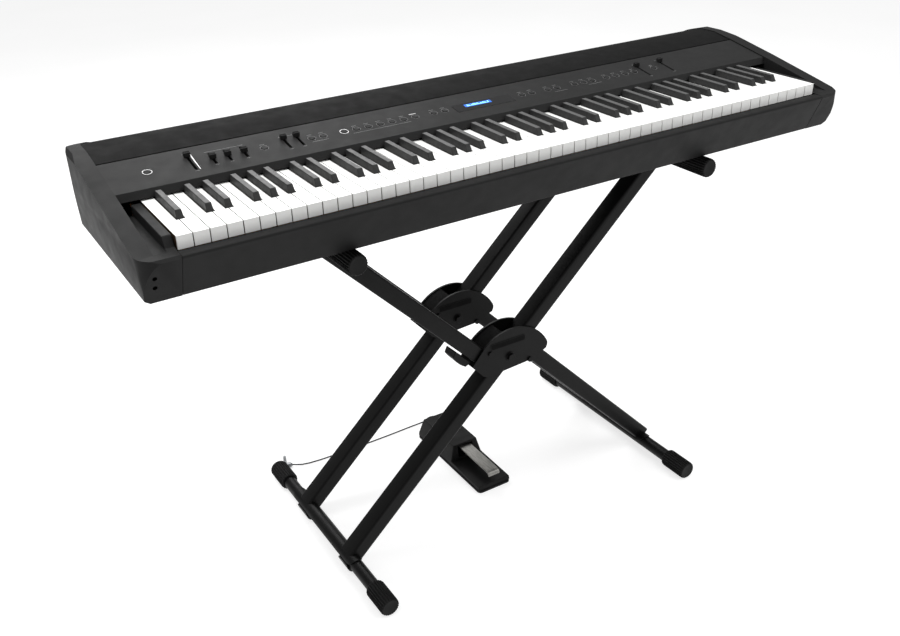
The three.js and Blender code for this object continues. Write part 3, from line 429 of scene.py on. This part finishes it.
MATERIALS = {
    "case": moulded("case_satin", grey(27), grey(30), 0.5, 0.6, 1400.0, 0.05, 0.35, 0.12),
    "panel": moulded("panel_satin", grey(33), grey(36), 0.5, 0.6, 1600.0, 0.04, 0.3, 0.12),
    "cover": moulded("cover_dark", grey(15), grey(17), 0.65, 0.78, 1100.0, 0.06, 0.3, 0.08),
    "white": moulded("key_white", colour(240, 240, 238), colour(246, 246, 244),
                     0.25, 0.35, 700.0, 0.01, 0.2, 0.3),
    # black keys: grey(78) is the painted sheen on their upper faces
    "black": black_with_painted_sheen("key_black", grey(30), grey(38), grey(78)),
    "stand": moulded("stand_black", grey(9), grey(12), 0.36, 0.46, 900.0, 0.03, 0.35, 0.14),
    "rubber": moulded("rubber_black", grey(13), grey(19), 0.6, 0.75, 1500.0, 0.05, 0.7, 0.2),
    "steel": brushed_metal("bright_steel", colour(120, 122, 124), colour(165, 167, 170),
                           0.28, 0.45, (1, 1, 8)),
    "lever": brushed_metal("pedal_metal", colour(130, 129, 126), colour(155, 154, 150),
                           0.38, 0.5, (8, 1, 1)),
    "wood": wood("bed_wood", colour(150, 96, 48), colour(196, 140, 82)),
    "stick": wood("stick_wood", colour(46, 32, 20), colour(70, 48, 28)),
    "lens": moulded("display_gloss", colour(3, 3, 4), colour(6, 6, 8), 0.08, 0.14, 300.0, 0.004, 0.1),
    "board": moulded("board_green", colour(20, 66, 38), colour(32, 86, 50), 0.4, 0.55, 500.0, 0.08),
    "cone": moulded("speaker_paper", grey(22), grey(34), 0.8, 0.95, 800.0, 0.1, 0.8, 0.3),
    "pedal": moulded("pedal_satin", grey(17), grey(21), 0.5, 0.62, 1300.0, 0.05, 0.4, 0.14),
    "cord": moulded("cord_black", grey(14), grey(20), 0.45, 0.6, 1200.0, 0.03, 0.5, 0.25),
    "print": moulded("print_grey", grey(120), grey(140), 0.5, 0.6, 900.0, 0.01, 0.2),
    "bright": moulded("print_bright", grey(225), grey(240), 0.4, 0.5, 900.0, 0.01, 0.2),
    "glow": glowing("display_glow", (0.01, 0.09, 0.42, 1), 1.2),
    "lit": glowing("display_lit", (0.25, 0.62, 1.0, 1), 2.4),
    # painted shade: near-black material for sheets put in gaps, slots and recesses where only shade falls
    "dark": moulded("painted_shade_dark", grey(5), grey(8), 0.7, 0.85, 900.0, 0.03, 0.4, 0.1),
}


# ---- Cord and pedal ------------------------------------------------------------------------------
COIL_TURNS = ((3, 1), (3, 2), (2, 2), (2, 1), (1, 1), (1, 2), (0, 2), (0, 1), (0, 0), (1, 0), (2, 0), (3, 0))
TURN_PITCH = CORD_DIAMETER + 0.07
TURN_STEPS = 20
COIL_START = -36           # degrees, where the cord joins the coil
LAY_HEIGHT = 0.15          # the lowest turns clear the floor by this much
CROSSING = 0.3             # the last share of a turn carries the cord over to the next one's place


def coil_points():
    """The turns of the coil, from the strain relief to where the cord leaves for the floor.

    COIL_TURNS gives each turn's column, counted outwards, and its row, counted upwards."""
    points = []
    start, end = math.radians(COIL_START), math.radians(90 + 360 * (len(COIL_TURNS) - 1))
    steps = int((end - start) / (2 * math.pi) * TURN_STEPS)
    for k in range(steps + 1):
        angle = start + (end - start) * k / steps
        turn = (angle - start) / (2 * math.pi)
        index = min(int(turn), len(COIL_TURNS) - 1)
        here, after = COIL_TURNS[index], COIL_TURNS[min(index + 1, len(COIL_TURNS) - 1)]
        share = min(max((turn - index - (1 - CROSSING)) / CROSSING, 0), 1)
        column = here[0] + (after[0] - here[0]) * share
        row = here[1] + (after[1] - here[1]) * share
        radius = COIL_RADIUS + (column - 1.5) * TURN_PITCH
        height = CORD_DIAMETER / 2 + LAY_HEIGHT + row * TURN_PITCH
        points.append(Vector((*on_circle(COIL_CENTRE, radius, angle), height)) * MM)
    return points


def make_cord():
    low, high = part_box("strain_relief")
    leave = Vector(((low.x + high.x) / 2, high.y, (low.z + high.z) / 2))
    points = [leave, leave + Vector((0, 0.0022, 0))] + coil_points() + [Vector(p) * MM for p in CORD_ROUTE]
    curve = bpy.data.curves.new("pedal_cord", "CURVE")
    curve.dimensions = "3D"
    curve.bevel_depth = CORD_DIAMETER / 2 * MM
    curve.bevel_resolution = 3
    curve.resolution_u = 3
    curve.use_fill_caps = True
    spline = curve.splines.new("POLY")
    spline.points.add(len(points) - 1)
    for point, place in zip(spline.points, points):
        point.co = (*place, 1)
    piece = bpy.data.objects.new("pedal_cord", curve)
    bpy.context.scene.collection.objects.link(piece)
    curve.materials.append(MATERIALS["cord"])
    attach(piece, "pedal")
    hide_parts("cord", "cord_coil")
    length = sum((b - a).length for a, b in zip(points, points[1:]))


def make_pedal():
    dress_copy("pedal_sole", "pedal_sole_rubber", "pedal", "rubber", 1.2)
    dress_copy("pedal_housing", "pedal_cover", "pedal", "pedal", 1.6)
    dress_copy("pedal_lever", "pedal_plate", "lever", "lever", 1.2)
    paint("strain_relief", "rubber")
    paint("plug", "steel")


def dress_copy(node, name, body, material, edge=0, segments=3):
    """A CAD node's own shape as a finished piece; edge is the rounding of its edges."""
    return dress(copy_node(node, name), body, MATERIALS[material], [node], edge, segments)


def paint(node, material):
    """A CAD node that keeps its own mesh gets a finished material."""
    piece = frame["nodes"][node]
    piece.data.materials.clear()
    piece.data.materials.append(MATERIALS[material])


# ---- Keys ----------------------------------------------------------------------------------------
KEY_COUNT = 88
CAP = 0.8                  # thickness of a white key's cover
FRONT_PLATE = 2.0          # thickness of the plate down a white key's front
FRONT_SET_BACK = 0.7       # from the cover's front edge to that plate
COVER_INSET = 0.15         # from a white key's nominal edges to its cover, plate and stick
PLATE_INSET = 0.3
STICK_INSET = 0.4
STICK_HALF = 4.6           # half the width of a black key's stick


def is_white(note):
    return note % 12 in WHITE


def seam_before(note):
    whites = note // 12 * 7 + sum(step < note % 12 for step in WHITE)
    return -KEYS_HALF + whites * WHITE_PITCH


def black_middle(note):
    return seam_before(note) + BLACK_SHIFT[note % 12]


def white_plan(note, inset=0.0):
    left = seam_before(note) + KEY_SPACE / 2 + inset
    right = left + WHITE_PITCH - KEY_SPACE - 2 * inset
    beside = BLACK_WIDTH / 2 + KEY_SPACE
    before = note > 0 and not is_white(note - 1)
    after = note < KEY_COUNT - 1 and not is_white(note + 1)
    back_left = black_middle(note - 1) + beside + inset if before else left
    back_right = black_middle(note + 1) - beside - inset if after else right
    step = LIP_Y - BLACK_LENGTH - KEY_SPACE - inset
    points = [(left, KEY_FRONT_Y + inset), (right, KEY_FRONT_Y + inset)]
    if after:
        points += [(right, step), (back_right, step)]
    points += [(back_right, KEY_BACK_Y), (back_left, KEY_BACK_Y)]
    if before:
        points += [(back_left, step), (left, step)]
    return points


def white_cover(solid, note):
    solid.prism(white_plan(note, COVER_INSET), KEY_TOP - CAP, KEY_TOP)
    left = seam_before(note) + KEY_SPACE / 2
    front = KEY_FRONT_Y + FRONT_SET_BACK
    right = left + WHITE_PITCH - KEY_SPACE - PLATE_INSET
    solid.box((left + PLATE_INSET, front, KEY_TOP - KEY_HEIGHT),
              (right, front + FRONT_PLATE, KEY_TOP - CAP - 0.02))


def white_stick(solid, note):
    plan = [(x, max(y, KEY_FRONT_Y + 0.75 + FRONT_PLATE)) for x, y in white_plan(note, STICK_INSET)]
    solid.prism(plan, KEY_TOP - KEY_HEIGHT, KEY_TOP - CAP - 0.04)


def black_top(solid, note):
    """The raised part of a black key: narrower on top, with a bevelled front."""
    middle = black_middle(note)
    front, end = LIP_Y - BLACK_LENGTH, LIP_Y - 0.6
    base, top = KEY_TOP - 1.5, KEY_TOP + BLACK_RISE
    wide, narrow = BLACK_WIDTH / 2, BLACK_WIDTH / 2 - 1.1
    points = [
        (middle - wide, front, base), (middle + wide, front, base),
        (middle + wide, end, base), (middle - wide, end, base),
        (middle - narrow, front + 6.5, top - 0.6), (middle + narrow, front + 6.5, top - 0.6),
        (middle + narrow, end, top), (middle - narrow, end, top),
    ]
    faces = [[3, 2, 1, 0], [4, 5, 6, 7], [0, 1, 5, 4], [1, 2, 6, 5], [2, 3, 7, 6], [3, 0, 4, 7]]
    solid.take(points, faces)


def black_stick(solid, note):
    middle = black_middle(note)
    solid.box((middle - STICK_HALF, LIP_Y - BLACK_LENGTH + 3, KEY_TOP - KEY_HEIGHT),
              (middle + STICK_HALF, KEY_BACK_Y, KEY_TOP - 1.6))


def make_keys():
    single = {39: "key_c4", 40: "key_c_sharp_4", 41: "key_d4", 42: "key_d_sharp_4", 43: "key_e4"}
    groups = {"keys_low": range(0, 39), "keys_high": range(44, KEY_COUNT)}
    groups.update({node: [note] for note, node in single.items()})
    for node, notes in groups.items():
        whites = [note for note in notes if is_white(note)]
        blacks = [note for note in notes if not is_white(note)]
        covers, sticks, tops = Solid(), Solid(), Solid()
        for note in whites:
            white_cover(covers, note)
            white_stick(sticks, note)
        for note in blacks:
            black_top(tops, note)
            black_stick(sticks, note)
        if len(notes) > 1:
            low, high = mm_box(node)
            sticks.box((low.x, KEY_BACK_Y - 8, KEY_TOP - KEY_HEIGHT + 1), (high.x, high.y, KEY_TOP - CAP - 1))
        dress(sticks.make(node + "_sticks"), node, MATERIALS["stick"], [node])
        if whites:
            dress(covers.make(node + "_covers"), node, MATERIALS["white"], [node], 0.3, 2)
        if blacks:
            dress(tops.make(node + "_tops"), node, MATERIALS["black"], [node], 0.9, 3)


# ---- Case and panel ------------------------------------------------------------------------------
CHEEK = (1.2, 15.0)        # the cheeks beside the keys start and end this far past the keys
CHEEK_DEPTH = 19.0         # the cheeks' undersides under the key tops
CHEEK_DROP = 1.6           # the cheeks' tops under the key tops


def make_case():
    for node in ("left_end_block", "right_end_block"):
        dress_copy(node, node + "_shell", "piano", "case", 1.5, 4)
    dress_copy("front_rail", "front_rail_shell", "piano", "case", 1.2)
    dress_copy("bottom_case", "bottom_shell", "piano", "case", 0.8)
    dress_copy("speaker_cover", "top_cover", "piano", "cover", 1.0)
    for side in (-1, 1):
        cheek = Solid()
        inner, outer = (side * (KEYS_HALF + past) for past in CHEEK)
        low, high = KEY_TOP - CHEEK_DEPTH, KEY_TOP - CHEEK_DROP
        profile = [(KEY_FRONT_Y + 4, low), (LIP_Y, low), (LIP_Y, high), (KEY_FRONT_Y + 15, high)]
        cheek.prism(profile, min(inner, outer), max(inner, outer), along_x)
        name = "left" if side < 0 else "right"
        dress(cheek.make(f"{name}_cheek"), "piano", MATERIALS["case"], edge=1.4, segments=3)
    paint("key_bed", "wood")
    paint("main_board", "board")
    paint("speaker_left", "cone")
    paint("speaker_right", "cone")


BUTTON_HOLE = BUTTON_RADIUS + 0.5
CUT_REACH = 6.0            # the cutters pass this far through the panel, both ways
WINDOW_HALF = 12.8         # half the display window, up the slope


def make_panel():
    low, high = mm_box("control_panel")
    front_y, front_z = PANEL_FRONT
    rear_y = front_y + PANEL_LENGTH * math.cos(PANEL_SLOPE)
    rear_z = front_z + PANEL_LENGTH * math.sin(PANEL_SLOPE)
    lip = KEY_TOP + 3
    under = PANEL_THICKNESS
    outline = [(LIP_Y, lip), (LIP_Y + under, lip), (front_y + 2, front_z - under),
               (rear_y, rear_z - under), (rear_y, rear_z), (front_y, front_z)]
    sheet = Solid().prism(outline, low.x, high.x, along_x).make("panel_sheet")
    cutter = Solid()
    for x in BUTTONS["left"] + BUTTONS["right"]:
        hole = [(0, -CUT_REACH), (BUTTON_HOLE, -CUT_REACH), (BUTTON_HOLE, CUT_REACH), (0, CUT_REACH)]
        cutter.turned(hole, on_panel, 32, (x, ROW))
    for x, middle, half in SLIDERS.values():
        slot = rounded_outline(SLOT_WIDTH / 2, half, 1.6, 4, (x, middle))
        cutter.prism(slot, -CUT_REACH, CUT_REACH, on_panel)
    lens_low, lens_high = mm_box("display_lens")
    lens_x = (lens_low.x + lens_high.x) / 2
    half_width = (lens_high.x - lens_low.x) / 2 + 0.3
    window = rounded_outline(half_width, WINDOW_HALF, 1.5, 4, (lens_x, ROW - 2))
    cutter.prism(window, -CUT_REACH, CUT_REACH, on_panel)
    cut_away(sheet, cutter.make("panel_cutter"))
    dress(sheet, "piano", MATERIALS["panel"], ["control_panel"], 0.45, 2)
    for side, places in BUTTONS.items():
        make_buttons(side, places)
    for node in SLIDERS:
        dress_copy(node, node + "_knob", node, "case", 0.5)
    dress_copy("display_lens", "display_window", "piano", "lens", 0.3, 2)
    make_display(lens_x)
    make_printing()
    make_slot_floors()


def make_buttons(side, places):
    solid = Solid()
    strip = [(places[0] - BUTTON_RADIUS, ROW - 4), (places[-1] + BUTTON_RADIUS, ROW - 4),
             (places[-1] + BUTTON_RADIUS, ROW + 4), (places[0] - BUTTON_RADIUS, ROW + 4)]
    solid.prism(strip, -10.4, -8.4, on_panel)
    for x in places:
        profile = [(0, -8.4), (BUTTON_RADIUS, -8.4), (BUTTON_RADIUS, 0.2), (BUTTON_RADIUS - 0.25, 0.65),
                   (BUTTON_RADIUS - 0.8, 0.85), (BUTTON_RADIUS - 2.2, 0.75), (1.5, 0.6), (0, 0.58)]
        solid.turned(profile, on_panel, 32, (x, ROW))
    node = "buttons_" + side
    dress(solid.make(node + "_caps"), node, MATERIALS["panel"], [node])


BLOCK_ROWS = (3, 2, 1, 2, 3, 3, 2, 3, 1, 2, 2, 3, 2, 1, 3)


def make_display(lens_x):
    """The lit part of the display: a blue field with a plain pattern of blocks."""
    height = 0.45
    middle = lens_x - 11
    field = rounded_outline(27, 4.6, 1, 3, (middle, ROW + 1))
    glow = Solid().prism(field, height, height + 0.05, on_panel)
    dress(glow.make("display_field"), "piano", MATERIALS["glow"])
    lit = Solid()
    for column, count in enumerate(BLOCK_ROWS):
        x = middle - 22 + column * 3.0
        for row in range(count):
            s = ROW - 1.6 + row * 2.0
            lit.box((x, s, height + 0.06), (x + 2.0, s + 1.4, height + 0.1), on_panel)
    dress(lit.make("display_blocks"), "piano", MATERIALS["lit"])


INK = (0.02, 0.07)         # the lower and upper face of the printed marks, above the panel
RING_INK = (0.02, 0.08)
BRIGHT_RINGS = (-583, -263)
BRIGHT_LABEL = -131
GROUP_LINES = ((-252, -146, 33), (-324, -296, 33), (228, 258, 33), (150, 178, 32))   # left, right and slope


def print_bar(solid, x, s, width, height=0.7):
    low = (x - width / 2, s - height / 2, INK[0])
    solid.box(low, (x + width / 2, s + height / 2, INK[1]), on_panel)


def print_ring(solid, x, s, radius, width):
    low, high = RING_INK
    profile = [(radius, low), (radius + width, low), (radius + width, high), (radius, high)]
    solid.ring(profile, on_panel, 40, (x, s))


def make_printing():
    """Plain printed marks: rings round the buttons, short bars as labels, and lines under the groups."""
    faint, bright = Solid(), Solid()
    for x in BUTTONS["left"] + BUTTONS["right"]:
        if x in BRIGHT_RINGS:
            print_ring(bright, x, ROW, 6.4, 0.9)
            continue
        print_ring(faint, x, ROW, 6.4, 0.35)
        if x == BRIGHT_LABEL:
            print_bar(bright, x, ROW + 10.5, 13, 1.3)
        else:
            print_bar(faint, x, ROW + 10.5, 8, 0.6)
    for left, right, s in GROUP_LINES:
        print_bar(faint, (left + right) / 2, s, right - left, 0.5)
    for x, middle, half in SLIDERS.values():
        print_bar(faint, x, middle + half + 4, 11, 0.6)
        print_bar(faint, x, middle - half - 3, 6, 0.5)
    print_bar(faint, -458, ROW + 22, 56, 0.5)
    print_bar(faint, -351, ROW + 22, 28, 0.5)
    x, middle, half = SLIDERS["volume_slider"]
    bright.prism([(x + 5.2, middle - half), (x + 6.2, middle - half), (x + 7.4, middle + half),
                  (x + 5.2, middle + half)], *INK, on_panel)
    dress(faint.make("panel_marks"), "piano", MATERIALS["print"])
    dress(bright.make("panel_bright_marks"), "piano", MATERIALS["bright"])


def make_slot_floors():
    """Dark channels of painted shade under the sliders' slots, so that the case's inside doesn't show."""
    solid = Solid()
    for x, middle, half in SLIDERS.values():
        outline = rounded_outline(8, half + 3, 2, 3, (x, middle))
        solid.prism(outline, -8.0, -7.0, on_panel)
    dress(solid.make("slider_channels"), "piano", MATERIALS["dark"])


# ---- Stand ---------------------------------------------------------------------------------------
BRACES = {"front": -85.5, "rear": 96.5}   # the middle planes of the two pairs of arms
PLATE_INSIDE = 18.3          # from a brace's middle plane to the inner face of a bracket plate
INSIDE_ARC = (102, 140)      # degrees round the plates' top that arm A never passes as the stand folds
PLATE_ARC = (4.0, -32.0, 90.0)   # centre, from the pivot, and radius of the plates' round top
FIELD_HALF = (37, 5)         # a plate's plain recessed field, darkened with painted shade
RIBS = 24
RIB_DEPTH = 1.1
CAP_BORE = 13.0
CLIPS = ((-112, -72), (66, 112))   # where the clips under a foot bar start and end


def place_along_y(x, z):
    def place(u, v, w):
        return (x + u, w, max(z + v, 0.0))
    return place


def ribbed(node, name, body, tip):
    """A ribbed rubber cap or sleeve round a bar's end. tip is the end that shows a closed face: -1 or 1."""
    low, high = mm_box(node)
    x = (low.x + high.x) / 2
    radius = (high.x - low.x) / 2
    z = high.z - radius
    open_y, closed_y = (high.y, low.y) if tip < 0 else (low.y, high.y)
    step = 1 if closed_y > open_y else -1
    stations = [
        (CAP_BORE, open_y + step * 6, 0), (CAP_BORE, open_y, 0), (radius - 2.6, open_y, 0),
        (radius - 1.4, open_y + step * 1.2, 0.4), (radius - 1.2, open_y + step * 4, 1),
        (radius - 1.2, closed_y - step * 7, 1), (radius - 1.3, closed_y - step * 3, 0.9),
        (radius - 2.2, closed_y - step * 0.9, 0.3), (radius - 3.6, closed_y, 0),
        (radius - 6, closed_y - step * 0.5, 0),
    ]
    segments = RIBS * 8
    place = place_along_y(x, z)
    points = [place(0, 0, open_y + step * 6), place(0, 0, closed_y - step * 0.9)]
    for r, y, depth in stations:
        for k in range(segments):
            a = 2 * math.pi * k / segments
            wave = max(0.0, math.cos(RIBS * a)) ** 0.6
            reach = r + depth * RIB_DEPTH * (2 * wave - 1)
            points.append(place(reach * math.cos(a), reach * math.sin(a), y))
    faces = []
    last = 2 + (len(stations) - 1) * segments
    for k in range(segments):
        j = (k + 1) % segments
        faces.append([0, 2 + j, 2 + k])
        faces.append([1, last + k, last + j])
        for s in range(len(stations) - 1):
            a = 2 + s * segments
            faces.append([a + k, a + j, a + segments + j, a + segments + k])
    piece = Solid().take(points, faces).make(name)
    dress(piece, body, MATERIALS["rubber"], [node])


def round_bar(node, name, body):
    low, high = mm_box(node)
    radius = (high.x - low.x) / 2
    centre = ((low.x + high.x) / 2, (low.z + high.z) / 2)
    profile = [(0, low.y), (radius - 0.8, low.y), (radius, low.y + 0.8), (radius, high.y - 0.8),
               (radius - 0.8, high.y), (0, high.y)]
    piece = Solid().turned(profile, along_y, 48, centre).make(name)
    dress(piece, body, MATERIALS["stand"], [node])


def curved_strip(solid, centre, radii, angles, ends, pull, steps=16):
    """A bent plate round a bar along Y; pull rounds its two ends off like tongues."""
    (x, z), (inner, outer), (first, last), (front, rear) = centre, radii, angles, ends
    points = []
    for k in range(steps + 1):
        t = 2 * k / steps - 1
        back = pull * (1 - math.sqrt(max(0.0, 1 - t * t)))
        a = math.radians(first + (last - first) * k / steps)
        for radius in (outer, inner):
            for y in (front + back, rear - back):
                points.append((x + radius * math.cos(a), y, z + radius * math.sin(a)))
    faces = [[0, 2, 3, 1], [4 * steps + i for i in (0, 1, 3, 2)]]
    for k in range(steps):
        a, b = 4 * k, 4 * k + 4
        faces += [[a, a + 1, b + 1, b], [a + 2, b + 2, b + 3, a + 3]]
        faces += [[a, b, b + 2, a + 2], [a + 1, a + 3, b + 3, b + 1]]
    solid.take(points, faces)


def saddle(name, body):
    """The half-round saddle over a foot bar, with tongue-shaped ends, and the two clips under it."""
    low, high = mm_box("foot_bar_" + name)
    centre = ((low.x + high.x) / 2, (low.z + high.z) / 2)
    radius = (high.x - low.x) / 2
    solid = Solid()
    curved_strip(solid, centre, (radius + 0.1, radius + 2.6), (8, 172), (-121, 140), 20)
    outward = (172, 262) if centre[0] < 0 else (-82, 8)
    for front, rear in CLIPS:
        curved_strip(solid, centre, (radius + 0.1, radius + 4.2), outward, (front, rear), 4, 10)
    dress(solid.make("foot_saddle_" + name), body, MATERIALS["stand"], (), 0.6, 2)


def bolt(node, name, body):
    low, high = mm_box(node)
    x, z = (low.x + high.x) / 2, (low.z + high.z) / 2
    solid = Solid()
    for face, sign in ((low.y, -1), (high.y, 1)):
        inner = face - sign * 6
        washer = inner + sign * 1.2
        solid.turned([(0, inner), (10, inner), (10, washer), (0, washer)], along_y, 32, (x, z))
        hexagon = [on_circle((x, z), 8.2, math.radians(60 * k + 12)) for k in range(6)]
        first, second = sorted((inner + sign * 1.25, face))
        solid.prism(hexagon, first, second, along_y)
    shank = [(0, low.y + 4), (5.9, low.y + 4), (5.9, high.y - 4), (0, high.y - 4)]
    solid.turned(shank, along_y, 24, (x, z))
    dress(solid.make(name), body, MATERIALS["stand"], [node], 0.5, 2)


def bracket_inside(end, y):
    """A dark strip of painted shade between a bracket's plates, just under their round tops, and a plain
    field darkened with painted shade.
    """
    pivot = Vector(JOINTS["cross_pivot"]["pos_m"]) / MM
    centre = (pivot.x + PLATE_ARC[0], pivot.z + PLATE_ARC[1])
    arc = [INSIDE_ARC[0] + (INSIDE_ARC[1] - INSIDE_ARC[0]) * k / 24 for k in range(25)]
    outline = []
    for radius, angles in ((PLATE_ARC[2] - 2, arc), (PLATE_ARC[2] - 4, arc[::-1])):
        outline += [on_circle(centre, radius, math.radians(a)) for a in angles]
    solid = Solid().prism(outline, y - PLATE_INSIDE, y + PLATE_INSIDE, along_y)
    low = mm_box(f"bracket_{end}_outer_plate")[0]
    middle = (pivot.x - 5, pivot.z + 32)
    field = rounded_outline(*FIELD_HALF, 2, 3, middle)
    solid.prism(field, low.y + 1.9, low.y + 1.95, along_y)
    dress(solid.make("bracket_inside_" + end), "frame_b", MATERIALS["dark"])
    rim = Solid()
    groove = rounded_outline(FIELD_HALF[0] + 1, FIELD_HALF[1] + 1, 3, 3, middle)
    rim.prism(groove, low.y + 1.91, low.y + 1.94, along_y)
    dress(rim.make("bracket_field_" + end), "frame_b", MATERIALS["stand"])


def make_stand():
    for frame_name in ("a", "b"):
        body = "frame_" + frame_name
        round_bar("foot_bar_" + frame_name, "foot_tube_" + frame_name, body)
        round_bar("top_bar_" + frame_name, "top_tube_" + frame_name, body)
        saddle(frame_name, body)
        for end, tip in (("front", -1), ("rear", 1)):
            ribbed(f"foot_cap_{frame_name}_{end}", f"foot_rubber_{frame_name}_{end}", body, tip)
            ribbed(f"top_sleeve_{frame_name}_{end}", f"top_rubber_{frame_name}_{end}", body, tip)
    for end, y in BRACES.items():
        arm = f"arm_a_{end}"
        dress_copy(arm, arm + "_tube", "frame_a", "stand")
        for half in ("upper", "lower"):
            arm = f"arm_b_{end}_{half}"
            dress_copy(arm, arm + "_tube", "frame_b", "stand")
        for layer in ("outer", "inner"):
            plate = f"bracket_{end}_{layer}_plate"
            dress_copy(plate, plate + "_shell", "frame_b", "stand", 0.9)
        bolt(f"pivot_bolt_{end}", f"pivot_screw_{end}", "frame_b")
        bracket_inside(end, y)
    dress_copy("lock_lever", "lock_handle", "lock", "stand", 1.5, 4)


# ---- Studio --------------------------------------------------------------------------------------
def area_light(name, place, target, size, energy):
    data = bpy.data.lights.new(name, "AREA")
    data.shape = "DISK"
    data.size = size
    data.energy = energy
    light = bpy.data.objects.new(name, data)
    light.location = place
    light.rotation_mode = "QUATERNION"
    light.rotation_quaternion = (Vector(target) - Vector(place)).to_track_quat("-Z", "Y")
    bpy.context.scene.collection.objects.link(light)


FLOOR = ((-6000, -5000, -20), (7000, 9000, -0.5))
FLOOR_GLOW = 0.72
WORLD_LIGHT = 0.4


def make_studio():
    floor = Solid().box(*FLOOR).make("floor")
    material, tree, shader = material_base("floor_pale", 0.9)
    shader.inputs["Specular IOR Level"].default_value = 0.1
    shader.inputs["Emission Color"].default_value = (1, 1, 1, 1)
    shader.inputs["Emission Strength"].default_value = FLOOR_GLOW
    tint(tree, shader, noise(tree, 2.0), (0.40, 0.40, 0.40, 1), (0.42, 0.42, 0.42, 1))
    floor.data.materials.append(material)
    world = bpy.data.worlds.new("studio")
    world.use_nodes = True
    world.node_tree.nodes["Background"].inputs["Color"].default_value = (1, 1, 1, 1)
    world.node_tree.nodes["Background"].inputs["Strength"].default_value = WORLD_LIGHT
    bpy.context.scene.world = world
    middle = (0, 0, 0.5)
    area_light("key_light", (-1.2, 0.4, 3.6), middle, 2.6, 110)
    area_light("fill_light", (1.6, -1.6, 3.0), middle, 2.4, 50)
    area_light("rim_light", (0.6, 2.8, 2.6), middle, 2.2, 40)
    bpy.context.scene.view_settings.view_transform = "Standard"


make_camera()
make_cord()
make_pedal()
make_keys()
make_case()
make_panel()
make_stand()
make_studio()
